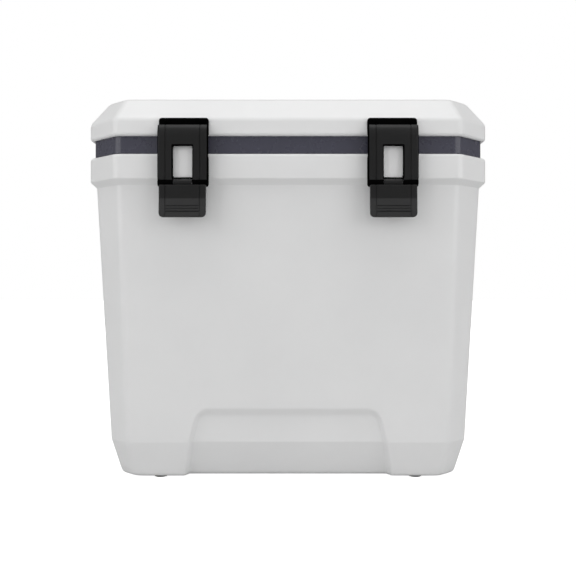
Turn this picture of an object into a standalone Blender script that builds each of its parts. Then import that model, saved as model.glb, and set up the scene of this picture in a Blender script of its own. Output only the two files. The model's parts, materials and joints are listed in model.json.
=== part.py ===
"""A 25-litre cooler chest: a foam-filled tub, a hinged lid, two draw latches and a drain.

Metres, +Z up. The origin is on the floor under the middle, and the latches face -Y.
Run it with: blender --background --python part.py
"""

import math

import bmesh
import bpy
from mathutils import Matrix, Vector

# Overall size of the chest without latches and hinges
WIDTH = 0.420
DEPTH = 0.340
HEIGHT = 0.400
GAP = 0.0003                    # room between pieces that touch

# Plan outline: a rectangle with 45-degree corners, whose eight upright edges are rounded
CORNER_LEG = 0.033              # leg of the corner on the widest outline
CORNER_LEG_LEAST = 0.016
LEG_LOSS = 2 - math.sqrt(2)     # what the leg loses for each unit that the outline moves in
EDGE_RADIUS = 0.011
EDGE_STEPS = 3
FILLET_STEPS = 2

# Tub levels, and how far the wall stands in from the widest outline there
SOLE_Z = 0.0031
SOLE_INSET = 0.0315
CREASE_Z = 0.041
CREASE_INSET = 0.0202
COLLAR_LOW_Z = 0.3088
COLLAR_LOW_INSET = 0.0061
COLLAR_Z = 0.3146
RIM_Z = 0.340
SHELL_WALL = 0.0032
LIP_WIDTH = 0.014

# Liner
LINER_WALL = 0.0025
CAVITY_FLOOR_Z = 0.038
CAVITY_FLOOR_INSET = 0.046
CAVITY_RIM_INSET = 0.034

# Lid
TRAY_Z = RIM_Z + 0.0004
TRAY_INSET = 0.0046
TRAY_WALL = 0.0028
TRAY_FLOOR = 0.004
TRAY_TOP_Z = 0.362
PLUG_Z = 0.334
PLUG_INSET = 0.0365
GROOVE_INSETS = (0.0205, 0.0275)
GROOVE_DEPTH = 0.0024
CAP_Z = 0.3582
CAP_WALL = 0.0042
CAP_CREASE_Z = 0.3757
CAP_TOP_INSET = 0.0194
PANEL_INSET = 0.036
PANEL_DEPTH = 0.0015

# Arch-shaped recess low in the front and the back. Above the crease its floor is parallel to the
# wall, and its sides and top slope open towards the wall
ARCH_DEPTH = 0.0045
ARCH_FLARE = 0.005              # added depth at the sole
ARCH_HALF = 0.1192              # half width at level 0 and inset 0
ARCH_LEAN = 0.258               # half width lost for each unit up
ARCH_DRAFT = 0.294              # half width lost for each unit in
ARCH_TOP_Z = 0.0680             # top of the floor
ARCH_TOP_SLOPE = 2.2            # height gained by the top for each unit out
ARCH_REACH = 0.040
ARCH_RADIUS = 0.010

# Hand grips in the two sides
GRIP_HALF_Y = 0.052
GRIP_Z = (0.268, 0.303)
GRIP_FLOOR_X = 0.187
GRIP_RADIUS = 0.012

# Feet
FOOT_X = 0.137
FOOT_Y = 0.1215
FOOT_RADIUS = 0.0075
STEM_RADIUS = 0.003

# Drain, low on the right-hand side
DRAIN_Z = 0.052
DRAIN_POCKET_RADIUS = 0.022
DRAIN_POCKET_X = 0.182
DRAIN_TUBE_RADIUS = 0.009
DRAIN_BORE_RADIUS = 0.0065
DRAIN_INNER_X = 0.1652

# Latches: distances out are measured from the front of the lid
LATCH_X = 0.106
LATCH_HALF = 0.0253
LINK_FACE = 0.014
LINK_PIN = (0.0082, 0.3622)     # distance out, height
LEVER_PIN = (0.0096, 0.309)
LATCH_PIN_RADIUS = 0.0015
WINDOW_HALF = 0.0098
WINDOW_TOP_Z = 0.3458
TONGUE_HALF = 0.0094
LEVER_HALF = 0.0237
BRACKET_Z = (0.3587, 0.3758)
KEEPER_Z = (0.3055, 0.338)
CATCH_Z = (0.315, 0.350)
CATCH_HALF = 0.0165

# Hinges
HINGE_X = 0.106
HINGE_HALF = 0.023
HINGE_Y = 0.1795
HINGE_Z = 0.349
BARREL_RADIUS = 0.0065
BARREL_SPLIT = 0.0118           # half length of the lid's barrel
HINGE_PIN_RADIUS = 0.002
RUNNING_GAP = 0.0001
LEAF_BACK = DEPTH / 2 + GAP
LEAF_FACE = LEAF_BACK + 0.003

# Screws
SHANK_RADIUS = 0.0014
HEAD_RADIUS = 0.0027
HEAD_HEIGHT = 0.0009
SCREW_REACH = 0.0135            # from under the head to the tip
SCREW_STEPS = 8
PIN_STEPS = 12

SIDES = (("left", -1), ("right", 1))


# ---------------------------------------------------------------- scene and looks

def clear_scene():
    for item in list(bpy.data.objects):
        bpy.data.objects.remove(item, do_unlink=True)


def new_collection(name):
    group = bpy.data.collections.new(name)
    bpy.context.scene.collection.children.link(group)
    return group


def look(name, colour, roughness, metallic=0.0):
    material = bpy.data.materials.new(name)
    material.use_nodes = True
    shader = material.node_tree.nodes["Principled BSDF"]
    shader.inputs["Base Color"].default_value = (*colour, 1)
    shader.inputs["Roughness"].default_value = roughness
    shader.inputs["Metallic"].default_value = metallic
    material.diffuse_color = (*colour, 1)
    return material


def add_piece(name, mesh, material, smooth=False):
    """Put a mesh in the chest's collection under its own name."""
    piece = bpy.data.objects.new(name, mesh)
    PARTS.objects.link(piece)
    mesh.materials.append(material)
    if smooth:
        mesh.shade_smooth()
        mesh.set_sharp_from_angle(angle=math.radians(35))
    return piece


def add_cutter(name, mesh):
    cutter = bpy.data.objects.new(name, mesh)
    CUTTERS.objects.link(cutter)
    cutter.hide_render = True
    cutter.display_type = "WIRE"
    return cutter


# ---------------------------------------------------------------- outlines

def arc(centre, radius, first, last, steps):
    """Points along an arc in a plane, from one angle to another in degrees."""
    points = []
    for step in range(steps + 1):
        angle = math.radians(first + (last - first) * step / steps)
        points.append((centre[0] + radius * math.cos(angle), centre[1] + radius * math.sin(angle)))
    return points


def round_corners(points, radii, steps, closed=True):
    """The outline with each corner turned into an arc. A radius of 0 keeps the corner."""
    rounded = []
    for index, (point, radius) in enumerate(zip(points, radii)):
        at_end = not closed and index in (0, len(points) - 1)
        corner = Vector(point)
        if radius == 0 or at_end:
            rounded.append(corner)
            continue
        back = (Vector(points[index - 1]) - corner).normalized()
        ahead = (Vector(points[(index + 1) % len(points)]) - corner).normalized()
        half_angle = back.angle(ahead) / 2
        centre = corner + (back + ahead).normalized() * radius / math.sin(half_angle)
        start = corner + back * radius / math.tan(half_angle) - centre
        end = corner + ahead * radius / math.tan(half_angle) - centre
        turn = math.pi - 2 * half_angle
        for step in range(steps + 1):
            share = step / steps
            swing = start * math.sin((1 - share) * turn) + end * math.sin(share * turn)
            rounded.append(centre + swing / math.sin(turn))
    return rounded


def rectangle(low, high, radii, steps=3):
    """A rectangle whose corners, from low to high and counter-clockwise, have these radii."""
    corners = [low, (high[0], low[1]), high, (low[0], high[1])]
    return round_corners(corners, radii, steps)


def plan_outline(inset, level):
    """The chest's outline seen from above, moved in by inset, as points at one level."""
    half_x = WIDTH / 2 - inset
    half_y = DEPTH / 2 - inset
    leg = max(CORNER_LEG - LEG_LOSS * inset, CORNER_LEG_LEAST)
    quarter = [(half_x, half_y - leg), (half_x - leg, half_y)]
    back_half = quarter + [(-x, y) for x, y in reversed(quarter)]
    corners = back_half + [(-x, -y) for x, y in back_half]
    outline = round_corners(corners, [EDGE_RADIUS] * len(corners), EDGE_STEPS)
    return [Vector((x, y, level)) for x, y in outline]


# ---------------------------------------------------------------- meshes

def mesh_of(shape):
    """Turn a bmesh into a mesh with its faces pointing out."""
    bmesh.ops.recalc_face_normals(shape, faces=shape.faces)
    mesh = bpy.data.meshes.new("mesh")
    shape.to_mesh(mesh)
    shape.free()
    return mesh


def loft(rings, around=False):
    """Skin rings of equal count. Around joins the last ring to the first, else both ends close."""
    shape = bmesh.new()
    loops = [[shape.verts.new(point) for point in ring] for ring in rings]
    pairs = list(zip(loops, loops[1:]))
    if around:
        pairs.append((loops[-1], loops[0]))
    count = len(loops[0])
    for low, high in pairs:
        for here in range(count):
            there = (here + 1) % count
            shape.faces.new((low[here], low[there], high[there], high[here]))
    if not around:
        shape.faces.new(reversed(loops[0]))
        shape.faces.new(loops[-1])
    return mesh_of(shape)


def plan_loft(profile, around=False):
    """Loft the plan outline along a profile of (inset, level, fillet radius)."""
    points = [(inset, level) for inset, level, _ in profile]
    radii = [radius for _, _, radius in profile]
    path = round_corners(points, radii, FILLET_STEPS, closed=False)
    return loft([plan_outline(inset, level) for inset, level in path], around)


def plate(outline, thickness, matrix):
    """A flat outline made solid: local X and Y hold the outline, and Z its thickness."""
    curve = bpy.data.curves.new("outline", "CURVE")
    curve.dimensions = "2D"
    curve.fill_mode = "BOTH"
    curve.extrude = thickness / 2
    spline = curve.splines.new("POLY")
    spline.points.add(len(outline) - 1)
    for point, (x, y) in zip(spline.points, outline):
        point.co = (x, y, 0, 1)
    spline.use_cyclic_u = True
    holder = bpy.data.objects.new("outline", curve)
    bpy.context.scene.collection.objects.link(holder)
    bpy.context.view_layer.update()
    evaluated = holder.evaluated_get(bpy.context.evaluated_depsgraph_get())
    flat = bpy.data.meshes.new_from_object(evaluated)
    shape = bmesh.new()
    shape.from_mesh(flat)
    bmesh.ops.remove_doubles(shape, verts=shape.verts, dist=0.000001)
    bmesh.ops.dissolve_limit(shape, angle_limit=0.001, verts=shape.verts, edges=shape.edges)
    bmesh.ops.transform(shape, matrix=matrix, verts=shape.verts)
    bpy.data.objects.remove(holder)
    bpy.data.curves.remove(curve)
    bpy.data.meshes.remove(flat)
    return mesh_of(shape)


def plate_along_x(outline, low, high):
    """An outline of (y, z) points, solid from x = low to x = high."""
    axes = Matrix(((0, 0, 1, (low + high) / 2), (1, 0, 0, 0), (0, 1, 0, 0), (0, 0, 0, 1)))
    return plate(outline, high - low, axes)


def plate_along_y(outline, low, high):
    """An outline of (x, z) points, solid from y = low to y = high."""
    axes = Matrix(((1, 0, 0, 0), (0, 0, -1, (low + high) / 2), (0, 1, 0, 0), (0, 0, 0, 1)))
    return plate(outline, high - low, axes)


def block(low, high):
    shape = bmesh.new()
    bmesh.ops.create_cube(shape, size=1)
    low, high = Vector(low), Vector(high)
    bmesh.ops.scale(shape, vec=high - low, verts=shape.verts)
    bmesh.ops.translate(shape, vec=(low + high) / 2, verts=shape.verts)
    return mesh_of(shape)


def rod(radius, start, end, steps=PIN_STEPS):
    """A cylinder from one point to another."""
    start, end = Vector(start), Vector(end)
    shape = bmesh.new()
    bmesh.ops.create_cone(
        shape, cap_ends=True, segments=steps, radius1=radius, radius2=radius, depth=(end - start).length
    )
    turn = (end - start).to_track_quat("Z", "Y").to_matrix().to_4x4()
    bmesh.ops.transform(shape, matrix=Matrix.Translation((start + end) / 2) @ turn, verts=shape.verts)
    return mesh_of(shape)


def profile_mesh(profile, closed):
    """A turned shape's profile of (radius, height) points, for a Screw modifier."""
    shape = bmesh.new()
    corners = [shape.verts.new((radius, 0, height)) for radius, height in profile]
    for first, second in zip(corners, corners[1:]):
        shape.edges.new((first, second))
    if closed:
        shape.edges.new((corners[-1], corners[0]))
    mesh = bpy.data.meshes.new("profile")
    shape.to_mesh(mesh)
    shape.free()
    return mesh


# ---------------------------------------------------------------- modifiers

def add_bevel(piece, width, segments=2, angle=60):
    bevel = piece.modifiers.new("bevel", "BEVEL")
    bevel.width = width
    bevel.segments = segments
    bevel.limit_method = "ANGLE"
    bevel.angle_limit = math.radians(angle)


def boolean(piece, other, operation):
    step = piece.modifiers.new(operation.lower(), "BOOLEAN")
    step.operation = operation
    step.object = other


def cut(piece, *cutters):
    for cutter in cutters:
        boolean(piece, cutter, "DIFFERENCE")


def join(piece, *additions):
    for addition in additions:
        boolean(piece, addition, "UNION")


def turned(name, profile, place, direction, material, steps, closed=False):
    """A turned piece: profile points (radius, height) run down the outer side, along direction."""
    piece = add_piece(name, profile_mesh(profile, closed), material)
    screw = piece.modifiers.new("turn", "SCREW")
    screw.steps = steps
    screw.render_steps = steps
    screw.use_merge_vertices = True
    screw.merge_threshold = 0.00001
    screw.use_smooth_shade = True
    piece.location = place
    piece.rotation_mode = "QUATERNION"
    piece.rotation_quaternion = Vector(direction).to_track_quat("Z", "Y")
    return piece


# ---------------------------------------------------------------- recesses in the tub

def wall_inset(z):
    """How far the tub's outer wall stands in at a level, below or above the crease."""
    if z < CREASE_Z:
        return CREASE_INSET + (SOLE_INSET - CREASE_INSET) * (CREASE_Z - z) / (CREASE_Z - SOLE_Z)
    return CREASE_INSET - (CREASE_INSET - COLLAR_LOW_INSET) * (z - CREASE_Z) / (COLLAR_LOW_Z - CREASE_Z)


def arch_depth(z):
    """The recess's depth at a level. It grows below the crease, so the sole's edge stands back."""
    return ARCH_DEPTH + ARCH_FLARE * max(0.0, CREASE_Z - z) / (CREASE_Z - SOLE_Z)


def arch_ring(inset, grow, side):
    """An upright section of the arch recess, at this inset."""
    floor_inset = wall_inset(ARCH_TOP_Z) + ARCH_DEPTH
    top = ARCH_TOP_Z + ARCH_TOP_SLOPE * (floor_inset - inset) + grow
    foot = -0.010
    low, high = (ARCH_HALF - ARCH_LEAN * z - ARCH_DRAFT * inset + grow for z in (foot, top))
    corners = [(-low, foot), (low, foot), (high, top), (-high, top)]
    outline = round_corners(corners, [0, 0, ARCH_RADIUS, ARCH_RADIUS], 3)
    return [Vector((x, side * (DEPTH / 2 - inset), z)) for x, z in outline]


def arch_cutter(name, side, grow=0.0):
    """A tapering arch, kept only as far in as the recess's floor."""
    cutter = add_cutter(name, loft([arch_ring(inset, grow, side) for inset in (0.050, -0.005)]))
    floor = []
    for z in (-0.015, CREASE_Z, 0.120):
        floor.append((side * (DEPTH / 2 - wall_inset(z) - arch_depth(z) - grow), z))
    outer = side * (DEPTH / 2 + ARCH_REACH)
    outline = [(outer, -0.015), *floor, (outer, 0.120)]
    solid = plate_along_x(outline, -WIDTH / 3, WIDTH / 3)
    boolean(cutter, add_cutter(name + "_floor", solid), "INTERSECT")
    return cutter


def grip_cutter(name, side, grow=0.0):
    low = (-GRIP_HALF_Y - grow, GRIP_Z[0] - grow)
    high = (GRIP_HALF_Y + grow, GRIP_Z[1] + grow)
    outline = rectangle(low, high, [GRIP_RADIUS + grow] * 4)
    ends = sorted((side * (GRIP_FLOOR_X - grow), side * WIDTH * 0.55))
    return add_cutter(name, plate_along_x(outline, *ends))


def drain_cutter(name, grow=0.0):
    start = (DRAIN_POCKET_X - grow, 0, DRAIN_Z)
    return add_cutter(name, rod(DRAIN_POCKET_RADIUS + grow, start, (WIDTH * 0.55, 0, DRAIN_Z), 24))


def recess_cutters(kind, grow=0.0):
    """Every recess in the tub's outer wall, each grown for the layer that it shapes."""
    return [
        arch_cutter(kind + "_arch_front", -1, grow),
        arch_cutter(kind + "_arch_back", 1, grow),
        grip_cutter(kind + "_grip_left", -1, grow),
        grip_cutter(kind + "_grip_right", 1, grow),
        drain_cutter(kind + "_drain", grow),
    ]


# ---------------------------------------------------------------- tub

def tub_wall(offset):
    """The tub's outer profile from the sole to under the collar, moved in by offset."""
    return [
        (SOLE_INSET + 0.006 + offset, SOLE_Z + offset, 0),
        (SOLE_INSET + offset * 0.8, SOLE_Z + offset, 0.006),
        (CREASE_INSET + offset, CREASE_Z, 0.006),
        (COLLAR_LOW_INSET + offset, COLLAR_LOW_Z - offset * 0.4, 0),
        (offset, COLLAR_Z - offset * 0.4, 0),
    ]


def core_profile(offset):
    """The space inside the outer shell, with its neck up through the lip."""
    under_lip = RIM_Z - SHELL_WALL - (offset - SHELL_WALL)
    return tub_wall(offset) + [
        (offset, under_lip, 0),
        (LIP_WIDTH, under_lip, 0),
        (LIP_WIDTH, RIM_Z + 0.01, 0),
    ]


def liner_profile(grow):
    """The liner's outside, from its floor up to the underside of its flange."""
    wall = LINER_WALL + grow
    floor = CAVITY_FLOOR_Z - wall
    return [
        (CAVITY_FLOOR_INSET + 0.010, floor, 0),
        (CAVITY_FLOOR_INSET - wall, floor, 0.010),
        (CAVITY_RIM_INSET - wall, RIM_Z - LINER_WALL - grow, 0),
    ]


def build_outer_shell(white, drills):
    profile = tub_wall(0) + [(0, RIM_Z, 0.0026), (SOLE_INSET + 0.006, RIM_Z, 0)]
    shell = add_piece("outer_shell", plan_loft(profile), white, smooth=True)
    core = add_cutter("shell_core", plan_loft(core_profile(SHELL_WALL)))
    cut(core, *recess_cutters("core", SHELL_WALL))
    cut(shell, *recess_cutters("shell"), core, *drills)


def build_body_foam(foam_look, drills):
    wall = SHELL_WALL + GAP
    top = RIM_Z - SHELL_WALL - 2 * GAP
    profile = tub_wall(wall) + [(wall, top, 0), (SOLE_INSET + 0.006 + wall, top, 0)]
    foam = add_piece("body_foam", plan_loft(profile), foam_look)
    tub = liner_profile(GAP)
    tub.append((CAVITY_RIM_INSET - LINER_WALL - GAP, RIM_Z + 0.01, 0))
    room = add_cutter("liner_room", plan_loft(tub))
    cut(foam, *recess_cutters("foam", wall), room, *drills)


def build_inner_liner(white, drain_hole):
    profile = liner_profile(0) + [
        (LIP_WIDTH + GAP, RIM_Z - LINER_WALL, 0),
        (LIP_WIDTH + GAP, RIM_Z, 0),
        (CAVITY_RIM_INSET, RIM_Z, 0.002),
        (CAVITY_FLOOR_INSET, CAVITY_FLOOR_Z, 0.010),
        (CAVITY_FLOOR_INSET + 0.012, CAVITY_FLOOR_Z, 0),
    ]
    liner = add_piece("inner_liner", plan_loft(profile), white, smooth=True)
    cut(liner, drain_hole)


def foot_places():
    for end, y in (("front", -FOOT_Y), ("back", FOOT_Y)):
        for side, sign in SIDES:
            yield f"{end}_{side}", (sign * FOOT_X, y, 0)


def build_feet(rubber):
    pad = SOLE_Z - GAP
    profile = [
        (0, pad + SHELL_WALL),
        (STEM_RADIUS, pad + SHELL_WALL),
        (STEM_RADIUS, pad),
        (FOOT_RADIUS, pad),
        (FOOT_RADIUS, 0.001),
        (FOOT_RADIUS - 0.001, 0),
        (0, 0),
    ]
    for name, place in foot_places():
        turned("foot_" + name, profile, place, (0, 0, 1), rubber, 14)


def foot_drills():
    drills = []
    for name, (x, y, _) in foot_places():
        ends = (x, y, SOLE_Z - 0.002), (x, y, SOLE_Z + SHELL_WALL + 0.001)
        drills.append(add_cutter("foot_hole_" + name, rod(STEM_RADIUS + GAP, *ends, 12)))
    return drills


# ---------------------------------------------------------------- drain

def drain_hole_cutter():
    start = (DRAIN_INNER_X - 0.012, 0, DRAIN_Z)
    end = (DRAIN_POCKET_X + 0.005, 0, DRAIN_Z)
    return add_cutter("drain_hole", rod(DRAIN_TUBE_RADIUS + GAP, start, end, 20))


def build_drain(black, rubber):
    """The bushing through the wall, and the plug that closes it with its washer."""
    flange_in = DRAIN_POCKET_X + GAP
    flange_out = flange_in + 0.003
    bushing = [
        (DRAIN_BORE_RADIUS, flange_out),
        (0.016, flange_out),
        (0.016, flange_in),
        (DRAIN_TUBE_RADIUS, flange_in),
        (DRAIN_TUBE_RADIUS, DRAIN_INNER_X),
        (DRAIN_BORE_RADIUS, DRAIN_INNER_X),
    ]
    place = (0, 0, DRAIN_Z)
    along_x = (1, 0, 0)
    turned("drain_bushing", bushing, place, along_x, black, 20, closed=True)

    washer_in = flange_out + GAP
    washer_out = washer_in + 0.0016
    washer = [(0.008, washer_out), (0.012, washer_out), (0.012, washer_in), (0.008, washer_in)]
    turned("drain_seal", washer, place, along_x, rubber, 20, closed=True)

    cap_in = washer_out + GAP
    cap_out = cap_in + 0.007
    stem_end = DRAIN_INNER_X + 0.003
    stem = DRAIN_BORE_RADIUS - 0.0004
    plug = [
        (0, cap_out),
        (0.0125, cap_out),
        (0.014, cap_out - 0.0015),
        (0.014, cap_in),
        (stem, cap_in),
        (stem, stem_end),
        (0, stem_end),
    ]
    piece = turned("drain_plug", plug, place, along_x, black, 20)
    grip = add_cutter("drain_grip", block((cap_out - 0.003, -0.0025, DRAIN_Z - 0.011),
                                          (cap_out + 0.005, 0.0025, DRAIN_Z + 0.011)))
    join(piece, grip)


# ---------------------------------------------------------------- lid

def build_lid_cap(white, drills):
    slope = CAP_TOP_INSET / (HEIGHT - CAP_CREASE_Z)
    inner_top = HEIGHT - CAP_WALL
    inner_crease = CAP_CREASE_Z - 0.0015
    inner_top_inset = CAP_WALL + slope * (inner_top - inner_crease)
    profile = [
        (inner_top_inset + 0.004, inner_top, 0),
        (inner_top_inset, inner_top, 0),
        (CAP_WALL, inner_crease, 0.006),
        (CAP_WALL, CAP_Z, 0),
        (0, CAP_Z, 0.0026),
        (0, CAP_CREASE_Z, 0.009),
        (CAP_TOP_INSET, HEIGHT, 0.006),
        (PANEL_INSET, HEIGHT, 0.001),
        (PANEL_INSET + 0.003, HEIGHT - PANEL_DEPTH, 0.001),
        (PANEL_INSET + 0.008, HEIGHT - PANEL_DEPTH, 0),
    ]
    cap = add_piece("lid_cap", plan_loft(profile), white, smooth=True)
    cut(cap, *drills)


def build_lid_tray(violet):
    """The dark inner lid: its edge shows as a band, and its middle drops into the cavity."""
    inner = TRAY_INSET + TRAY_WALL
    floor = TRAY_Z + TRAY_FLOOR
    groove_in, groove_out = GROOVE_INSETS
    groove_z = TRAY_Z + GROOVE_DEPTH
    profile = [
        (PLUG_INSET + 0.008, PLUG_Z, 0),
        (PLUG_INSET, PLUG_Z, 0.002),
        (PLUG_INSET - 0.0005, TRAY_Z, 0),
        (groove_out, TRAY_Z, 0),
        (groove_out, groove_z, 0),
        (groove_in, groove_z, 0),
        (groove_in, TRAY_Z, 0),
        (TRAY_INSET, TRAY_Z, 0.0012),
        (TRAY_INSET, TRAY_TOP_Z, 0),
        (inner, TRAY_TOP_Z, 0),
        (inner, floor, 0),
        (PLUG_INSET + 0.003, floor, 0),
        (PLUG_INSET + 0.003, PLUG_Z + 0.003, 0),
        (PLUG_INSET + 0.008, PLUG_Z + 0.003, 0),
    ]
    add_piece("lid_tray", plan_loft(profile), violet, smooth=True)


def build_lid_foam(foam_look, drills):
    in_tray = TRAY_INSET + TRAY_WALL + GAP
    in_cap = CAP_WALL + GAP
    slope = CAP_TOP_INSET / (HEIGHT - CAP_CREASE_Z)
    crease = CAP_CREASE_Z - 0.0025
    top = HEIGHT - CAP_WALL - 2 * GAP
    profile = [
        (PLUG_INSET + 0.008, PLUG_Z + 0.0034, 0),
        (PLUG_INSET + 0.0034, PLUG_Z + 0.0034, 0),
        (PLUG_INSET + 0.0034, TRAY_Z + TRAY_FLOOR + GAP, 0),
        (in_tray, TRAY_Z + TRAY_FLOOR + GAP, 0),
        (in_tray, TRAY_TOP_Z + GAP, 0),
        (in_cap, TRAY_TOP_Z + GAP, 0),
        (in_cap, crease, 0.006),
        (in_cap + slope * (top - crease), top, 0),
        (in_cap + slope * (top - crease) + 0.004, top, 0),
    ]
    foam = add_piece("lid_foam", plan_loft(profile), foam_look)
    cut(foam, *drills)


def build_gasket(rubber):
    low = RIM_Z + GAP
    high = TRAY_Z + GROOVE_DEPTH - GAP
    outer = GROOVE_INSETS[0] + GAP
    inner = GROOVE_INSETS[1] - GAP
    profile = [(outer, low, 0), (outer, high, 0), (inner, high, 0), (inner, low, 0)]
    add_piece("lid_gasket", plan_loft(profile, around=True), rubber)


# ---------------------------------------------------------------- screws and pins

def build_screw(name, seat, direction, material):
    """A pan-head screw whose head's underside is at seat, and whose tip points along direction."""
    profile = [
        (0, HEAD_HEIGHT),
        (HEAD_RADIUS * 0.7, HEAD_HEIGHT),
        (HEAD_RADIUS, HEAD_HEIGHT * 0.4),
        (HEAD_RADIUS, 0),
        (SHANK_RADIUS, 0),
        (SHANK_RADIUS, 0.002 - SCREW_REACH),
        (0, -SCREW_REACH),
    ]
    turned(name, profile, seat, -Vector(direction), material, SCREW_STEPS)


def screw_drill(name, seat, direction):
    way = Vector(direction)
    ends = Vector(seat) - way * 0.002, Vector(seat) + way * (SCREW_REACH + GAP)
    return add_cutter(name + "_hole", rod(SHANK_RADIUS + GAP, *ends, SCREW_STEPS))


def screw_pair(name, x, half_pitch, y, z, direction, material):
    """Two screws side by side. Returns the cutters of their holes."""
    drills = []
    for label, sign in (("a", -1), ("b", 1)):
        seat = (x + sign * half_pitch, y, z)
        build_screw(f"{name}_{label}", seat, direction, material)
        drills.append(screw_drill(f"{name}_{label}", seat, direction))
    return drills


# ---------------------------------------------------------------- latches

def outward(points):
    """Turn (distance out, height) points of a latch into (y, z) points."""
    return [(-DEPTH / 2 - out, z) for out, z in points]


def latch_box(x, halves, outs, levels):
    low = (x + halves[0], -DEPTH / 2 - outs[1], levels[0])
    high = (x + halves[1], -DEPTH / 2 - outs[0], levels[1])
    return block(low, high)


def latch_rod(x, half, pin, radius):
    y = -DEPTH / 2 - pin[0]
    return rod(radius, (x - half, y, pin[1]), (x + half, y, pin[1]))


def build_keeper(side, x, black, white):
    """The base plate on the collar, and the pale catch plate that shows in the latch's window."""
    base_outline = rectangle((x - LATCH_HALF, KEEPER_Z[0]), (x + LATCH_HALF, KEEPER_Z[1]), [0.003] * 4)
    base = add_piece(
        "keeper_base_" + side,
        plate_along_y(base_outline, -DEPTH / 2 - 0.0024, -DEPTH / 2 - GAP),
        black,
    )
    catch_outline = rectangle((x - CATCH_HALF, CATCH_Z[0]), (x + CATCH_HALF, CATCH_Z[1]), [0.001] * 4, 1)
    catch = add_piece(
        "catch_plate_" + side,
        plate_along_y(catch_outline, -DEPTH / 2 - 0.0042, -DEPTH / 2 - 0.0027),
        white,
    )
    return base, catch


def lug_outline():
    centre = LINK_PIN
    low = BRACKET_Z[0]
    return outward([(0.0012, low), *arc(centre, 0.0026, -90, 122, 8), (0.0012, low + 0.003)])


def build_bracket(side, x, black):
    """The plate on the lid, with two lugs that hold the link's pin."""
    outline = rectangle((x - LATCH_HALF, BRACKET_Z[0]), (x + LATCH_HALF, BRACKET_Z[1]),
                        [0, 0, 0.003, 0.003])
    name = "latch_bracket_" + side
    bracket = add_piece(name, plate_along_y(outline, -DEPTH / 2 - 0.0024, -DEPTH / 2 - GAP), black)
    for label, sign in (("a", -1), ("b", 1)):
        ends = sorted((x + sign * 0.0140, x + sign * 0.0210))
        join(bracket, add_cutter(f"{name}_lug_{label}", plate_along_x(lug_outline(), *ends)))
    bore = latch_rod(x, LATCH_HALF, LINK_PIN, LATCH_PIN_RADIUS + RUNNING_GAP)
    cut(bracket, add_cutter(name + "_bore", bore))
    return bracket


def link_outline():
    """The link seen from the side: knuckle for the lever, flat face, and curved top over the pin."""
    hood_centre = (LINK_PIN[0], 0.3565)
    hood = []
    for step in range(7):
        angle = math.radians(75 * step / 6)
        out = hood_centre[0] + (LINK_FACE - hood_centre[0]) * math.cos(angle)
        hood.append((out, hood_centre[1] + 0.0114 * math.sin(angle)))
    barrel = arc(LINK_PIN, 0.0044, 100, 205, 5)
    knuckle = arc(LEVER_PIN, 0.0040, 175, 385, 9)
    chin = arc((LINK_FACE - 0.006, 0.315), 0.006, -36, 0, 3)
    flange = [(0.0052, 0.357), (0.0052, 0.3125)]
    return outward([*chin, *hood, *barrel, *flange, *knuckle])


def lug_pocket_outline():
    """Room for a bracket lug inside the link, open at the back."""
    out, z = LINK_PIN
    return outward([
        (0, z - 0.0112),
        (out + 0.0036, z - 0.0112),
        (out + 0.0036, z + 0.0013),
        (out + 0.0026, z + 0.0034),
        (out + 0.0012, z + 0.0040),
        (out + 0.0012, z + 0.0080),
        (0, z + 0.0080),
    ])


def build_link(side, x, black):
    """The plate that hangs from the lid, with a window and two legs that hold the lever."""
    name = "latch_link_" + side
    link = add_piece(name, plate_along_x(link_outline(), x - LATCH_HALF, x + LATCH_HALF), black)
    add_bevel(link, 0.0013, 1)
    hollow = latch_box(x, (-0.0233, 0.0233), (0, 0.0095), (0.316, 0.3515))
    window = latch_box(x, (-WINDOW_HALF, WINDOW_HALF), (-0.002, 0.02), (0.295, WINDOW_TOP_Z))
    cut(link, add_cutter(name + "_hollow", hollow), add_cutter(name + "_window", window))
    for label, sign in (("a", -1), ("b", 1)):
        ends = sorted((x + sign * 0.0137, x + sign * 0.0213))
        pocket = plate_along_x(lug_pocket_outline(), *ends)
        cut(link, add_cutter(f"{name}_pocket_{label}", pocket))
    for label, pin in (("upper", LINK_PIN), ("lower", LEVER_PIN)):
        bore = latch_rod(x, 0.0215, pin, LATCH_PIN_RADIUS + RUNNING_GAP)
        cut(link, add_cutter(f"{name}_{label}_bore", bore))


def build_lever(side, x, black):
    """The finger plate, with a tongue that turns on the pin between the link's legs."""
    name = "latch_lever_" + side
    finger = [
        (0.0148, 0.3062),
        (0.0129, 0.3062),
        (0.0129, 0.3042),
        (0.0123, 0.3035),
        (0.0123, 0.2925),
        (0.0134, 0.2790),
        (0.0134, 0.2736),
        (0.0160, 0.2736),
        (0.0160, 0.2790),
        (0.0148, 0.2925),
    ]
    lever = add_piece(name, plate_along_x(outward(finger), x - LEVER_HALF, x + LEVER_HALF), black)
    add_bevel(lever, 0.0006, 1)
    tongue = [(0.0135, 0.2990), (0.0135, 0.3056), *arc(LEVER_PIN, 0.0037, -38, 235, 10), (0.0115, 0.2990)]
    solid = plate_along_x(outward(tongue), x - TONGUE_HALF, x + TONGUE_HALF)
    join(lever, add_cutter(name + "_tongue", solid))
    bore = latch_rod(x, TONGUE_HALF + 0.002, LEVER_PIN, LATCH_PIN_RADIUS + RUNNING_GAP)
    cut(lever, add_cutter(name + "_bore", bore))


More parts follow.
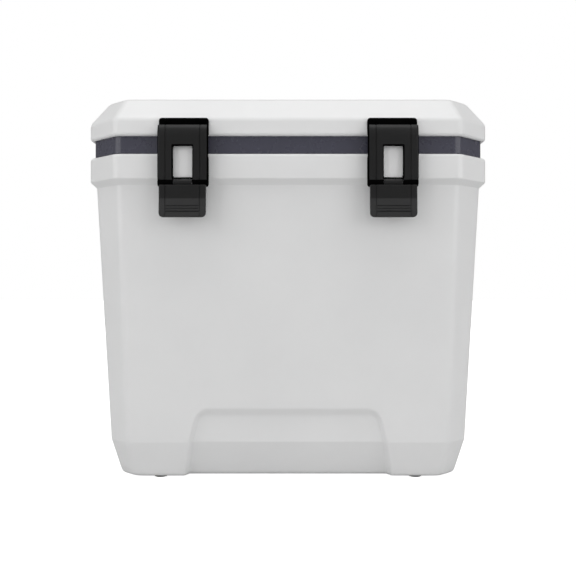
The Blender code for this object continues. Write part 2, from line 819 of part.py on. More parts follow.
def build_latch(side, sign, looks):
    """One latch. Returns the holes that its screws make in the collar and in the lid."""
    x = sign * LATCH_X
    front = (0, 1, 0)
    face = -DEPTH / 2
    base, catch = build_keeper(side, x, looks["black"], looks["white"])
    collar_holes = screw_pair("keeper_screw_" + side, x, 0.013, face - 0.0045, 0.323, front, looks["steel"])
    cut(base, *collar_holes)
    cut(catch, *collar_holes)
    bracket = build_bracket(side, x, looks["black"])
    lid_holes = screw_pair("bracket_screw_" + side, x, 0.017, face - 0.0027, 0.3718, front, looks["dark"])
    cut(bracket, *lid_holes)
    build_link(side, x, looks["black"])
    build_lever(side, x, looks["black"])
    add_piece("link_pin_" + side, latch_rod(x, 0.0205, LINK_PIN, LATCH_PIN_RADIUS), looks["steel"])
    add_piece("lever_pin_" + side, latch_rod(x, 0.0205, LEVER_PIN, LATCH_PIN_RADIUS), looks["steel"])
    return collar_holes, lid_holes


# ---------------------------------------------------------------- hinges

def hinge_leaf(name, x, outline, gaps, material):
    """A leaf with its barrel, which is cut away over the gaps, each a (low, high) span."""
    leaf = add_piece(name, plate_along_x(outline, x - HINGE_HALF, x + HINGE_HALF), material)
    for label, (start, stop) in enumerate(gaps):
        low = (x + start, LEAF_BACK - 0.001, HINGE_Z - 0.010)
        high = (x + stop, HINGE_Y + 0.010, HINGE_Z + 0.010)
        cut(leaf, add_cutter(f"{name}_gap_{label}", block(low, high)))
    reach = HINGE_HALF + 0.005
    bore = rod(HINGE_PIN_RADIUS + RUNNING_GAP, (x - reach, HINGE_Y, HINGE_Z), (x + reach, HINGE_Y, HINGE_Z))
    cut(leaf, add_cutter(name + "_bore", bore))
    return leaf


def build_hinge(side, sign, looks):
    """One hinge. Returns the holes that its screws make in the collar and in the lid."""
    x = sign * HINGE_X
    axis = (HINGE_Y, HINGE_Z)
    rear = (0, -1, 0)
    body_outline = [
        (LEAF_BACK, 0.316),
        (LEAF_FACE, 0.316),
        (LEAF_FACE, 0.333),
        *arc(axis, BARREL_RADIUS, -25, 200, 12),
        (LEAF_BACK, 0.3385),
    ]
    lid_outline = [
        (LEAF_BACK, 0.3705),
        (LEAF_BACK, 0.3600),
        *arc(axis, BARREL_RADIUS, 150, 400, 12),
        (LEAF_FACE, 0.3615),
        (LEAF_FACE, 0.3705),
    ]
    middle = [(-BARREL_SPLIT - GAP, BARREL_SPLIT + GAP)]
    ends = [(-HINGE_HALF - 0.001, -BARREL_SPLIT), (BARREL_SPLIT, HINGE_HALF + 0.001)]
    body_leaf = hinge_leaf("hinge_body_leaf_" + side, x, body_outline, middle, looks["black"])
    lid_leaf = hinge_leaf("hinge_lid_leaf_" + side, x, lid_outline, ends, looks["black"])
    seat = LEAF_FACE + GAP
    collar_holes = screw_pair("hinge_body_screw_" + side, x, 0.015, seat, 0.324, rear, looks["dark"])
    lid_holes = screw_pair("hinge_lid_screw_" + side, x, 0.0175, seat, 0.3655, rear, looks["dark"])
    cut(body_leaf, *collar_holes)
    cut(lid_leaf, *lid_holes)
    pin = rod(HINGE_PIN_RADIUS, (x - HINGE_HALF, *axis), (x + HINGE_HALF, *axis))
    add_piece("hinge_pin_" + side, pin, looks["steel"])
    return collar_holes, lid_holes


# ---------------------------------------------------------------- the whole chest

def build_chest():
    looks = {
        "white": look("white_plastic", (0.80, 0.80, 0.80), 0.45),
        "violet": look("violet_grey_plastic", (0.075, 0.075, 0.095), 0.42),
        "black": look("black_plastic", (0.018, 0.018, 0.018), 0.38),
        "rubber": look("grey_rubber", (0.10, 0.10, 0.10), 0.80),
        "foam": look("insulation_foam", (0.78, 0.70, 0.50), 0.90),
        "steel": look("steel", (0.60, 0.60, 0.60), 0.30, 1.0),
        "dark": look("dark_steel", (0.03, 0.03, 0.03), 0.40, 1.0),
    }
    collar_holes, lid_holes = [], []
    for side, sign in SIDES:
        for build in (build_latch, build_hinge):
            in_collar, in_lid = build(side, sign, looks)
            collar_holes += in_collar
            lid_holes += in_lid
    drain_hole = drain_hole_cutter()
    build_outer_shell(looks["white"], [*collar_holes, drain_hole, *foot_drills()])
    build_body_foam(looks["foam"], [*collar_holes, drain_hole])
    build_inner_liner(looks["white"], drain_hole)
    build_feet(looks["rubber"])
    build_drain(looks["black"], looks["rubber"])
    build_lid_cap(looks["white"], lid_holes)
    build_lid_tray(looks["violet"])
    build_lid_foam(looks["foam"], lid_holes)
    build_gasket(looks["rubber"])


clear_scene()
PARTS = new_collection("cooler_chest")
CUTTERS = new_collection("cutters")
build_chest()
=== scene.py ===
"""The look of a 25-litre cooler chest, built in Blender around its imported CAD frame.

Metres, +Z up, latches towards -Y. Each CAD node that shows is replaced by a finer piece of the
same size; the foam nodes stay and take a material.
"""

import json
import math

import bmesh
import bpy
from mathutils import Matrix, Vector


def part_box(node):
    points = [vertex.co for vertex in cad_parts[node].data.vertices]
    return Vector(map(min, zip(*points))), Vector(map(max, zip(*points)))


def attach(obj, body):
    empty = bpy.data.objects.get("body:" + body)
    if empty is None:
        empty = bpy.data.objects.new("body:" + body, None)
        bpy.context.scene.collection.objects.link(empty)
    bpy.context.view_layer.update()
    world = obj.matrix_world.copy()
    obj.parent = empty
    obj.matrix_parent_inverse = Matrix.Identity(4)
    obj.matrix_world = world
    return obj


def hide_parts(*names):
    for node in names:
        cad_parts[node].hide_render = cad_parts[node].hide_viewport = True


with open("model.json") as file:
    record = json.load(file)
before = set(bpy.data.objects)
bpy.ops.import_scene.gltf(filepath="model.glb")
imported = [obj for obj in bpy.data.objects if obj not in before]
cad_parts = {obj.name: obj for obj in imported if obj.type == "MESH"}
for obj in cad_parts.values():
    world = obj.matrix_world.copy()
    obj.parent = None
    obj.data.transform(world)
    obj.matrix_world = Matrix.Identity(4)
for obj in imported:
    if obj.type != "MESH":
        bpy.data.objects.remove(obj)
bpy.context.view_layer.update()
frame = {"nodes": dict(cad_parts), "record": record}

RECORD = frame["record"]
BODY_OF = {node: body for body, nodes in RECORD["behaviour"]["bodies"].items() for node in nodes}
HINGES = [joint for joint in RECORD["behaviour"]["joints"] if joint["type"] == "hinge"]
JOINT_AT = {joint["name"]: Vector(joint["pos_m"]) for joint in HINGES}


def box_of(node):
    low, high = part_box(node)
    return Vector(low), Vector(high)


SIDES = (("left", -1), ("right", 1))

# Clearances: between neighbouring pieces, and round a pin
GAP = 0.0003
PIN_GAP = 0.0001

# Overall size, from the outlines of the tub and the lid
SHELL_LOW, SHELL_HIGH = box_of("outer_shell")
CAP_LOW, CAP_HIGH = box_of("lid_cap")
TRAY_LOW, TRAY_HIGH = box_of("lid_tray")
LINER_LOW = box_of("inner_liner")[0]
WIDTH = CAP_HIGH.x - CAP_LOW.x
DEPTH = CAP_HIGH.y - CAP_LOW.y
HEIGHT = CAP_HIGH.z
FRONT = -DEPTH / 2

# Plan outline: a rectangle with 45-degree corners, whose eight upright edges are rounded
CORNER_LEG = 0.033
CORNER_LEG_LEAST = 0.016
LEG_LOSS = 2 - math.sqrt(2)
EDGE_RADIUS = 0.011
EDGE_STEPS = 8
FILLET_STEPS = 6

# Tub levels, and how far the wall stands in from the widest outline there
SOLE_Z = SHELL_LOW.z
SOLE_INSET = 0.0315
SOLE_BORDER = 0.020
CREASE_Z = 0.041
CREASE_INSET = 0.0202
COLLAR_LOW_Z = 0.3088
COLLAR_LOW_INSET = 0.0061
COLLAR_Z = 0.3146
RIM_Z = SHELL_HIGH.z
SHELL_WALL = 0.0032
LIP_WIDTH = 0.014

# Arch-shaped recess low in the front and the back
ARCH_DEPTH = 0.0045
ARCH_FLARE = 0.005              # added depth at the sole
ARCH_HALF = 0.1192              # half width at level 0 and inset 0
ARCH_LEAN = 0.258               # half width lost for each unit up
ARCH_DRAFT = 0.294              # half width lost for each unit in
ARCH_MID_Z = 0.0730             # middle of the slope at the top
ARCH_TOP_RAMP = 0.0094
ARCH_SIDE_RAMP = 0.0060
ARCH_RADIUS = 0.010
ARCH_LOW_Z = 0.058              # the mesh is fine from here up to the limit
ARCH_LIMIT_Z = 0.095
# Upright mesh lines beside the recess's edge, as distances inwards in millimetres
ARCH_COLUMNS = (-6, -4, -3, -2.2, -1.5, -0.8, 0, 0.8, 1.5, 2.2, 3, 4, 5.5, 7, 8.5, 10, 12, 14)

# Liner
LINER_WALL = 0.0025
CAVITY_FLOOR_INSET = 0.046
CAVITY_RIM_INSET = 0.034

# Lid
TRAY_INSET = TRAY_LOW.x + WIDTH / 2
TRAY_Z = RIM_Z + 0.0004
TRAY_WALL = 0.0028
TRAY_FLOOR = 0.004
PLUG_INSET = 0.0365
GROOVE_INSETS = (0.0205, 0.0275)
GROOVE_DEPTH = 0.0024
CAP_WALL = 0.0042
CAP_CREASE_Z = 0.3757
CAP_TOP_INSET = 0.0194
PANEL_INSET = 0.036
PANEL_DEPTH = 0.0015

# Hand grips and drain
GRIP_HALF_Y = 0.052
GRIP_Z = (0.268, 0.303)
GRIP_FLOOR_X = 0.187
GRIP_RADIUS = 0.012
GRIP_LIP = 0.0030
DRAIN_Z = (box_of("drain_seal")[0].z + box_of("drain_seal")[1].z) / 2
DRAIN_POCKET_RADIUS = 0.0205
DRAIN_POCKET_X = 0.182
DRAIN_LIP = 0.0015
DRAIN_BORE_RADIUS = 0.0065
DRAIN_SLEEVE_RADIUS = 0.009
DRAIN_FLANGE_RADIUS = 0.016
PLUG_CAP_LENGTH = 0.007
PLUG_RIBS = 24

# Latches: distances out are measured from the front of the lid
LATCH_HALF = 0.0253
LINK_FACE = 0.014
LATCH_PIN_RADIUS = 0.0015
WINDOW_HALF = 0.0098
WINDOW_TOP_Z = 0.3458
TONGUE_HALF = 0.0094
LEVER_HALF = 0.0237
LEVER_CORNER = 0.0044
LEVER_EDGE = 0.0010
LEVER_FACE = 0.0160
LEVER_BACK = 0.0134
LEVER_NECK_FACE = 0.0148
LEVER_NECK_BACK = 0.0123
LEVER_TOP_Z = 0.3062
GRIP_TOP_Z = 0.2925             # the lever leans out below this level, where it is grained and painted lighter for the light its flared face catches
LEVER_HEEL_Z = 0.2790           # and hangs straight below this one
LEVER_LOW_Z = 0.2736
GRIP_NOTCH = 0.0008
GRIP_GROOVES = ((0.2794, 1.8), (0.2822, 1.0), (0.2850, 1.0))   # levels, and depths in notches
BRACKET_OUT = 0.0024
LUG_SPAN = (0.0140, 0.0210)     # where a bracket's lugs stand across the latch
LINK_EDGE = 0.0016
LINK_WALL = 0.0020
LINK_BACK = 0.0052
LINK_BORE_HALF = 0.0215
HOOD_Z = 0.3545                 # where the link's face starts to curve back
HOOD_RISE = 0.0134
CHIN_Z = 0.315                  # where the face starts to curve back at its lower end
CHIN_RADIUS = 0.006
KNUCKLE_RADIUS = 0.0040
KNUCKLE_FACES = 8               # faces of the link's outline that turn under at its lower end; they take the painted shadow black
LATCH_GROOVE_X = 0.0174         # upright grooves in the link and the lever
LATCH_GROOVE_DEPTH = 0.0005
CATCH_PROUD = 0.0011            # how far the catch plate stands in front of its CAD solid

# Hinges
HINGE_HALF = 0.023
HINGE_Y = JOINT_AT["lid_hinge"].y
HINGE_Z = JOINT_AT["lid_hinge"].z
BARREL_RADIUS = 0.0065
BARREL_SPLIT = 0.0118
HINGE_PIN_RADIUS = 0.002
LEAF_BACK = DEPTH / 2 + GAP
LEAF_FACE = LEAF_BACK + 0.003

# Screws
SHANK_RADIUS = 0.0014
HEAD_RADIUS = 0.0027
HEAD_HEIGHT = 0.0009
SCREW_REACH = 0.0135

# Camera: level, straight in front of the chest
LENS_MM = 50
CAMERA_Y = -0.986
CAMERA_Z = 0.2027

# Studio: strengths of the room, and of the glow that keeps the floor white in front of the camera
WORLD_HORIZON = 0.28
WORLD_ZENITH = 0.36
WORLD_BEHIND = 0.80
FLOOR_GLOW = 1.50


# ---------------------------------------------------------------- node helpers for materials

def new_material(name):
    """A new material, with its node tree and its Principled shader."""
    material = bpy.data.materials.new(name)
    material.use_nodes = True
    tree = material.node_tree
    return material, tree, tree.nodes["Principled BSDF"]


def add_node(tree, kind, **settings):
    node = tree.nodes.new(kind)
    for name, value in settings.items():
        setattr(node, name, value)
    return node


def noise(tree, scale, detail=2.0, roughness=0.5, stretch=(1, 1, 1)):
    """Noise in object coordinates. Returns the socket that holds it."""
    place = add_node(tree, "ShaderNodeTexCoord")
    mapping = add_node(tree, "ShaderNodeMapping")
    mapping.inputs["Scale"].default_value = stretch
    texture = add_node(tree, "ShaderNodeTexNoise")
    texture.inputs["Scale"].default_value = scale
    texture.inputs["Detail"].default_value = detail
    texture.inputs["Roughness"].default_value = roughness
    tree.links.new(place.outputs["Object"], mapping.inputs["Vector"])
    tree.links.new(mapping.outputs["Vector"], texture.inputs["Vector"])
    return texture.outputs["Fac"]


def spread(tree, source, low, high, from_low=0.3, from_high=0.7):
    """The source's values moved to the range from low to high."""
    shift = add_node(tree, "ShaderNodeMapRange")
    shift.inputs["From Min"].default_value = from_low
    shift.inputs["From Max"].default_value = from_high
    shift.inputs["To Min"].default_value = low
    shift.inputs["To Max"].default_value = high
    tree.links.new(source, shift.inputs["Value"])
    return shift.outputs["Result"]


def tint(tree, source, first, second):
    """A colour between two, by the source's value."""
    mixer = add_node(tree, "ShaderNodeMix", data_type="RGBA")
    mixer.inputs["A"].default_value = (*first, 1)
    mixer.inputs["B"].default_value = (*second, 1)
    tree.links.new(source, mixer.inputs["Factor"])
    return mixer.outputs["Result"]


def bump(tree, source, depth, below=None):
    """A bump of this depth in metres, laid over another one if given."""
    node = add_node(tree, "ShaderNodeBump")
    node.inputs["Strength"].default_value = 1.0
    node.inputs["Distance"].default_value = depth
    tree.links.new(source, node.inputs["Height"])
    if below is not None:
        tree.links.new(below, node.inputs["Normal"])
    return node.outputs["Normal"]


# ---------------------------------------------------------------- materials

def moulded_plastic(name, dark, light, gloss, grain_scale, grain_depth, shine):
    """Injection-moulded plastic: faint mottle, uneven gloss, slow waves and a fine grain.

    Gloss is the mean roughness and shine the strength of the reflections.
    """
    material, tree, shader = new_material(name)
    mottle = spread(tree, noise(tree, 9, 4, 0.6), 0, 1)
    tree.links.new(tint(tree, mottle, dark, light), shader.inputs["Base Color"])
    handled = noise(tree, 38, 5, 0.65)
    tree.links.new(spread(tree, handled, gloss - 0.02, gloss + 0.025), shader.inputs["Roughness"])
    shader.inputs["Specular IOR Level"].default_value = shine
    waves = bump(tree, noise(tree, 22, 1), 0.00006)
    grain = bump(tree, noise(tree, grain_scale, 2), grain_depth, waves)
    tree.links.new(grain, shader.inputs["Normal"])
    return material


def rubber_look():
    material, tree, shader = new_material("grey_rubber_look")
    dust = spread(tree, noise(tree, 60, 5, 0.7), 0, 1)
    colour = tint(tree, dust, (0.085, 0.085, 0.086), (0.125, 0.124, 0.121))
    tree.links.new(colour, shader.inputs["Base Color"])
    shader.inputs["Roughness"].default_value = 0.82
    tree.links.new(bump(tree, noise(tree, 1400, 3), 0.00003), shader.inputs["Normal"])
    return material


def brushed_metal(name, dark, light, roughness):
    """Metal with fine marks along the length of the pins, which lie along X."""
    material, tree, shader = new_material(name)
    marks = noise(tree, 900, 3, 0.6, stretch=(0.05, 1, 1))
    tree.links.new(tint(tree, spread(tree, marks, 0, 1), dark, light), shader.inputs["Base Color"])
    tree.links.new(spread(tree, marks, roughness - 0.06, roughness + 0.08), shader.inputs["Roughness"])
    shader.inputs["Metallic"].default_value = 1.0
    tree.links.new(bump(tree, marks, 0.00001), shader.inputs["Normal"])
    return material


def foam_look():
    """Rigid poured foam: closed cells under a pale yellow skin."""
    material, tree, shader = new_material("insulation_foam_look")
    place = add_node(tree, "ShaderNodeTexCoord")
    cells = add_node(tree, "ShaderNodeTexVoronoi")
    cells.inputs["Scale"].default_value = 480
    tree.links.new(place.outputs["Object"], cells.inputs["Vector"])
    cream = tint(tree, spread(tree, noise(tree, 30, 4), 0, 1), (0.70, 0.60, 0.36), (0.80, 0.72, 0.50))
    tree.links.new(cream, shader.inputs["Base Color"])
    shader.inputs["Roughness"].default_value = 0.9
    tree.links.new(bump(tree, cells.outputs["Distance"], 0.0004), shader.inputs["Normal"])
    return material


LOOKS = {
    "white_plastic": moulded_plastic(
        "white_plastic_look", dark=(0.735, 0.737, 0.738), light=(0.765, 0.766, 0.766),
        gloss=0.33, grain_scale=1500, grain_depth=0.000012, shine=0.45),
    "violet_grey_plastic": moulded_plastic(
        "violet_grey_plastic_look", dark=(0.053, 0.053, 0.075), light=(0.057, 0.057, 0.080),
        gloss=0.27, grain_scale=1700, grain_depth=0.000005, shine=0.5),
    "black_plastic": moulded_plastic(
        "black_plastic_look", dark=(0.0050, 0.0050, 0.0052), light=(0.0072, 0.0072, 0.0074),
        gloss=0.42, grain_scale=2000, grain_depth=0.000016, shine=0.32),
    # Painted shade: near-black with no reflection at all, for the dark gaps and edges round the latches where
    # there is only shade
    "shadow_black": moulded_plastic(
        "painted_shadow_black_look", dark=(0.0012, 0.0012, 0.0012), light=(0.0022, 0.0022, 0.0022),
        gloss=0.75, grain_scale=2000, grain_depth=0.00003, shine=0.0),
    # Partly painted light: a rougher, grained black for the lever's grip, made lighter than the black plastic
    # to stand for the light its flared face catches
    "lever_grip_lit_black": moulded_plastic(
        "lever_grip_lit_plastic_look", dark=(0.014, 0.014, 0.0145), light=(0.021, 0.021, 0.0215),
        gloss=0.55, grain_scale=900, grain_depth=0.00006, shine=0.40),
    # Painted light: a brighter copy of the white plastic, lifting the shade that the link's window casts on
    # the catch plate
    "catch_plate_lit_white": moulded_plastic(
        "catch_plate_painted_light_look", dark=(0.91, 0.91, 0.91), light=(0.94, 0.94, 0.94),
        gloss=0.35, grain_scale=1500, grain_depth=0.000012, shine=0.5),
    "grey_rubber": rubber_look(),
    "insulation_foam": foam_look(),
    "steel": brushed_metal("steel_look", (0.52, 0.52, 0.53), (0.64, 0.64, 0.65), 0.30),
    "dark_steel": brushed_metal("dark_steel_look", (0.020, 0.020, 0.021), (0.040, 0.040, 0.041), 0.42),
}


# ---------------------------------------------------------------- outlines

def arc(centre, radius, first, last, steps):
    """Points along an arc in a plane, from one angle to another in degrees."""
    points = []
    for step in range(steps + 1):
        angle = math.radians(first + (last - first) * step / steps)
        points.append((centre[0] + radius * math.cos(angle), centre[1] + radius * math.sin(angle)))
    return points


def round_corners(points, radii, steps, closed=True):
    """The outline with each corner turned into an arc. A radius of 0 keeps the corner."""
    rounded = []
    for index, (point, radius) in enumerate(zip(points, radii)):
        at_end = not closed and index in (0, len(points) - 1)
        corner = Vector(point)
        if radius == 0 or at_end:
            rounded.append(corner)
            continue
        back = (Vector(points[index - 1]) - corner).normalized()
        ahead = (Vector(points[(index + 1) % len(points)]) - corner).normalized()
        half_angle = back.angle(ahead) / 2
        centre = corner + (back + ahead).normalized() * radius / math.sin(half_angle)
        start = corner + back * radius / math.tan(half_angle) - centre
        end = corner + ahead * radius / math.tan(half_angle) - centre
        turn = math.pi - 2 * half_angle
        for step in range(steps + 1):
            share = step / steps
            swing = start * math.sin((1 - share) * turn) + end * math.sin(share * turn)
            rounded.append(centre + swing / math.sin(turn))
    return rounded


def rectangle(low, high, radii, steps=6):
    corners = [low, (high[0], low[1]), high, (low[0], high[1])]
    return round_corners(corners, radii, steps)


def plan_corners(inset):
    """The eight corners of the chest's outline seen from above, counter-clockwise from +X."""
    half_x = WIDTH / 2 - inset
    half_y = DEPTH / 2 - inset
    leg = max(CORNER_LEG - LEG_LOSS * inset, CORNER_LEG_LEAST)
    quarter = [(half_x, half_y - leg), (half_x - leg, half_y)]
    back_half = quarter + [(-x, y) for x, y in reversed(quarter)]
    return back_half + [(-x, -y) for x, y in back_half]


def plan_outline(inset, level):
    corners = plan_corners(inset)
    outline = round_corners(corners, [EDGE_RADIUS] * len(corners), EDGE_STEPS)
    return [Vector((x, y, level)) for x, y in outline]


def rounded_path(profile, steps=FILLET_STEPS):
    """The points of a (inset, level, fillet radius) profile, with its fillets."""
    points = [(inset, level) for inset, level, _ in profile]
    radii = [radius for _, _, radius in profile]
    return round_corners(points, radii, steps, closed=False)


def smooth_step(value):
    share = min(max(value, 0.0), 1.0)
    return share * share * (3 - 2 * share)


# ---------------------------------------------------------------- meshes

def mesh_of(shape):
    """Turn a bmesh into a mesh with its faces pointing out."""
    bmesh.ops.recalc_face_normals(shape, faces=shape.faces)
    mesh = bpy.data.meshes.new("mesh")
    shape.to_mesh(mesh)
    shape.free()
    return mesh


def loft(rings, around=False):
    """Skin rings of equal count. Around joins the last ring to the first, else both ends close."""
    shape = bmesh.new()
    loops = [[shape.verts.new(point) for point in ring] for ring in rings]
    pairs = list(zip(loops, loops[1:]))
    if around:
        pairs.append((loops[-1], loops[0]))
    count = len(loops[0])
    for low, high in pairs:
        for here in range(count):
            there = (here + 1) % count
            shape.faces.new((low[here], low[there], high[there], high[here]))
    if not around:
        shape.faces.new(reversed(loops[0]))
        shape.faces.new(loops[-1])
    return mesh_of(shape)


def plan_loft(profile, around=False):
    return loft([plan_outline(inset, level) for inset, level in rounded_path(profile)], around)


def plate_along_x(outline, low, high):
    """An outline of (y, z) points, solid from x = low to x = high."""
    return loft([[(x, y, z) for y, z in outline] for x in (low, high)])


def plate_along_y(outline, low, high):
    """An outline of (x, z) points, solid from y = low to y = high."""
    return loft([[(x, y, z) for x, z in outline] for y in (low, high)])


def block(low, high):
    (x0, y0, z0), (x1, y1, z1) = low, high
    return plate_along_x([(y0, z0), (y1, z0), (y1, z1), (y0, z1)], x0, x1)


def turned(profile, place, direction, steps, closed=False):
    """A turned shape from (radius, height) points. Height runs along direction from place."""
    turn = Vector(direction).to_track_quat("Z", "Y").to_matrix().to_4x4()
    matrix = Matrix.Translation(Vector(place)) @ turn
    rings = []
    for radius, height in profile:
        angles = [2 * math.pi * step / steps for step in range(steps)]
        ring = [matrix @ Vector((radius * math.cos(a), radius * math.sin(a), height)) for a in angles]
        rings.append(ring)
    return loft(rings, around=closed)


def rod(radius, start, end, steps=24, crown=0.0):
    """A round bar from one point to another, whose edges are broken by the crown."""
    start, end = Vector(start), Vector(end)
    length = (end - start).length
    profile = [(radius, 0), (radius, length)]
    if crown:
        low = [(radius - crown * (1 - math.sin(a)), crown * (1 - math.cos(a))) for a in (0, 0.5, 1.0, 1.5708)]
        profile = low + [(r, length - h) for r, h in reversed(low)]
    return turned(profile, start, end - start, steps)


# ---------------------------------------------------------------- pieces

def settle(piece):
    """Replace the piece's mesh by what its modifiers make of it."""
    bpy.context.view_layer.update()
    graph = bpy.context.evaluated_depsgraph_get()
    mesh = bpy.data.meshes.new_from_object(piece.evaluated_get(graph), depsgraph=graph)
    piece.modifiers.clear()
    piece.data = mesh


def combine(piece, mesh, operation):
    """Cut a mesh out of the piece, or join it on."""
    other = bpy.data.objects.new("tool", mesh)
    bpy.context.scene.collection.objects.link(other)
    step = piece.modifiers.new("boolean", "BOOLEAN")
    step.operation = operation
    step.solver = "EXACT"
    step.object = other
    settle(piece)
    bpy.data.objects.remove(other)


def shade_cut(mesh):
    """Mark every face of a mesh for the piece's second look; on the link that is the painted shadow black."""
    for face in mesh.polygons:
        face.material_index = 1
    return mesh


def add_piece(node, mesh, slot, cuts=(), joins=(), bevel=0.0, sharp=40, look=None, second=None):
    """A finished piece that stands for one CAD node: shaped, shaded, coloured and riding on its body.

    Look takes the place of the slot's own look, and second is for the faces marked for it.
    """
    looks = [look or LOOKS[slot]]
    if second:
        looks.append(second)
    piece = bpy.data.objects.new(node + "_skin", mesh)
    bpy.context.scene.collection.objects.link(piece)
    for finish in looks:
        mesh.materials.append(finish)
    for addition in joins:
        combine(piece, addition, "UNION")
    for tool in cuts:
        combine(piece, tool, "DIFFERENCE")
    if bevel:
        edge = piece.modifiers.new("bevel", "BEVEL")
        edge.width = bevel
        edge.segments = 3
        edge.limit_method = "ANGLE"
        edge.angle_limit = math.radians(45)
        edge.use_clamp_overlap = True
        settle(piece)
    piece.data.shade_smooth()
    piece.data.set_sharp_from_angle(angle=math.radians(sharp))
    weigh = piece.modifiers.new("normals", "WEIGHTED_NORMAL")
    weigh.keep_sharp = True
    weigh.weight = 90
    settle(piece)
    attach(piece, BODY_OF[node])
    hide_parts(node)
    return piece


# ---------------------------------------------------------------- tub

def wall_inset(z):
    """How far the tub's outer wall stands in at a level, below or above the crease."""
    if z < CREASE_Z:
        return CREASE_INSET + (SOLE_INSET - CREASE_INSET) * (CREASE_Z - z) / (CREASE_Z - SOLE_Z)
    return CREASE_INSET - (CREASE_INSET - COLLAR_LOW_INSET) * (z - CREASE_Z) / (COLLAR_LOW_Z - CREASE_Z)


def arch_depth(z):
    """The recess's depth at a level. It grows below the crease, so the sole's edge stands back."""
    return ARCH_DEPTH + ARCH_FLARE * max(0.0, CREASE_Z - z) / (CREASE_Z - SOLE_Z)


def arch_half(z):
    """Half the recess's width at a level, halfway down its sides."""
    level = min(z, ARCH_LIMIT_Z)
    return ARCH_HALF - ARCH_LEAN * level - ARCH_DRAFT * (wall_inset(level) + arch_depth(level) / 2)


def arch_push(x, z, grow):
    """How far the recess pushes the wall in at a point. Grow makes it wider for the inner side."""
    side = arch_half(z) + grow - abs(x)
    top = ARCH_MID_Z + grow - z
    corner = ARCH_RADIUS
    if side < corner and top < corner:
        reach = math.hypot(corner - side, corner - top)
        inside = corner - reach
        upward = ((corner - top) / reach) ** 2
    else:
        inside = min(side, top)
        upward = 1.0 if top < side else 0.0
    ramp = ARCH_SIDE_RAMP + (ARCH_TOP_RAMP - ARCH_SIDE_RAMP) * upward
    return arch_depth(z) * smooth_step(0.5 + inside / ramp)


def face_columns(level, end):
    """Places of the tub's upright mesh lines across the front, from -X to +X."""
    half = arch_half(level)
    right = [half - offset / 1000 for offset in ARCH_COLUMNS]
    middle = [right[-1] * eighth / 8 for eighth in range(7, 0, -1)]
    outer = [end + (right[0] - end) * third / 3 for third in (1, 2)]
    places = outer + right + middle
    return [-x for x in places] + [0.0] + list(reversed(places))


def tub_ring(inset, level, grow):
    """One level of the tub's wall, pushed in where the recesses are."""
    corners = plan_corners(inset)
    arcs = round_corners(corners, [EDGE_RADIUS] * len(corners), EDGE_STEPS)
    ring = []
    for index, start in enumerate(corners):
        span = arcs[index * (EDGE_STEPS + 1):(index + 1) * (EDGE_STEPS + 1)]
        ring += [Vector((x, y, level)) for x, y in span]
        if index in (1, 5):
            sign = 1 if index == 1 else -1
            columns = face_columns(level, abs(span[-1][0]))
            for x in columns:
                push = arch_push(x, level, grow)
                ring.append(Vector((-sign * x, sign * (abs(start[1]) - push), level)))
    return ring


def fill_levels(path, spacing):
    """The path with points added so that no step is longer than the spacing at its level."""
    filled = [path[0]]
    for start, end in zip(path, path[1:]):
        steps = math.ceil((end - start).length / spacing((start.y + end.y) / 2))
        filled += [start.lerp(end, step / steps) for step in range(1, steps + 1)]
    return filled


def outer_spacing(level):
    if level > ARCH_LIMIT_Z:
        return 0.02
    return 0.0014 if level > ARCH_LOW_Z else 0.003


def inner_spacing(level):
    return 0.02 if level > ARCH_LIMIT_Z else 0.004


def wall_lip_cutter(outline, floor_x, sign, lip, draft=0.0008, fillet=0.0025):
    """A recess in a side wall, with a rounded lip that follows the wall.

    outline(grow) gives its (y, z) points, grown outwards by an amount.
    """
    rings = []
    for degrees in (0, 30, 60, 90):
        turn = math.radians(degrees)
        x = floor_x + fillet * (1 - math.cos(turn))
        rings.append([(sign * x, y, z) for y, z in outline(-fillet * (1 - math.sin(turn)))])
    for degrees in (0, 20, 40, 60, 76):
        turn = math.radians(degrees)
        below = lip * (1 - math.sin(turn))
        ring = outline(draft + lip * (1 - math.cos(turn)))
        rings.append([(sign * (WIDTH / 2 - wall_inset(z) - below), y, z) for y, z in ring])
    last = outline(draft + lip * (1 - math.cos(math.radians(76))))
    rings.append([(sign * (WIDTH / 2 + 0.01), y, z) for y, z in last])
    return loft(rings)


def backing(outline, floor_x, sign):
    """Material behind a side recess, from behind its floor to the middle of the wall."""
    back = [(sign * (floor_x - SHELL_WALL), y, z) for y, z in outline(SHELL_WALL)]
    front = []
    for y, z in outline(SHELL_WALL):
        front.append((sign * (WIDTH / 2 - wall_inset(z) - SHELL_WALL / 2), y, z))
    return loft([back, front])


def grip_outline(grow):
    low = (-GRIP_HALF_Y - grow, GRIP_Z[0] - grow)
    high = (GRIP_HALF_Y + grow, GRIP_Z[1] + grow)
    return rectangle(low, high, [GRIP_RADIUS + grow] * 4, 10)


def drain_outline(grow):
    return arc((0, DRAIN_Z), DRAIN_POCKET_RADIUS + grow, 0, 353, 50)


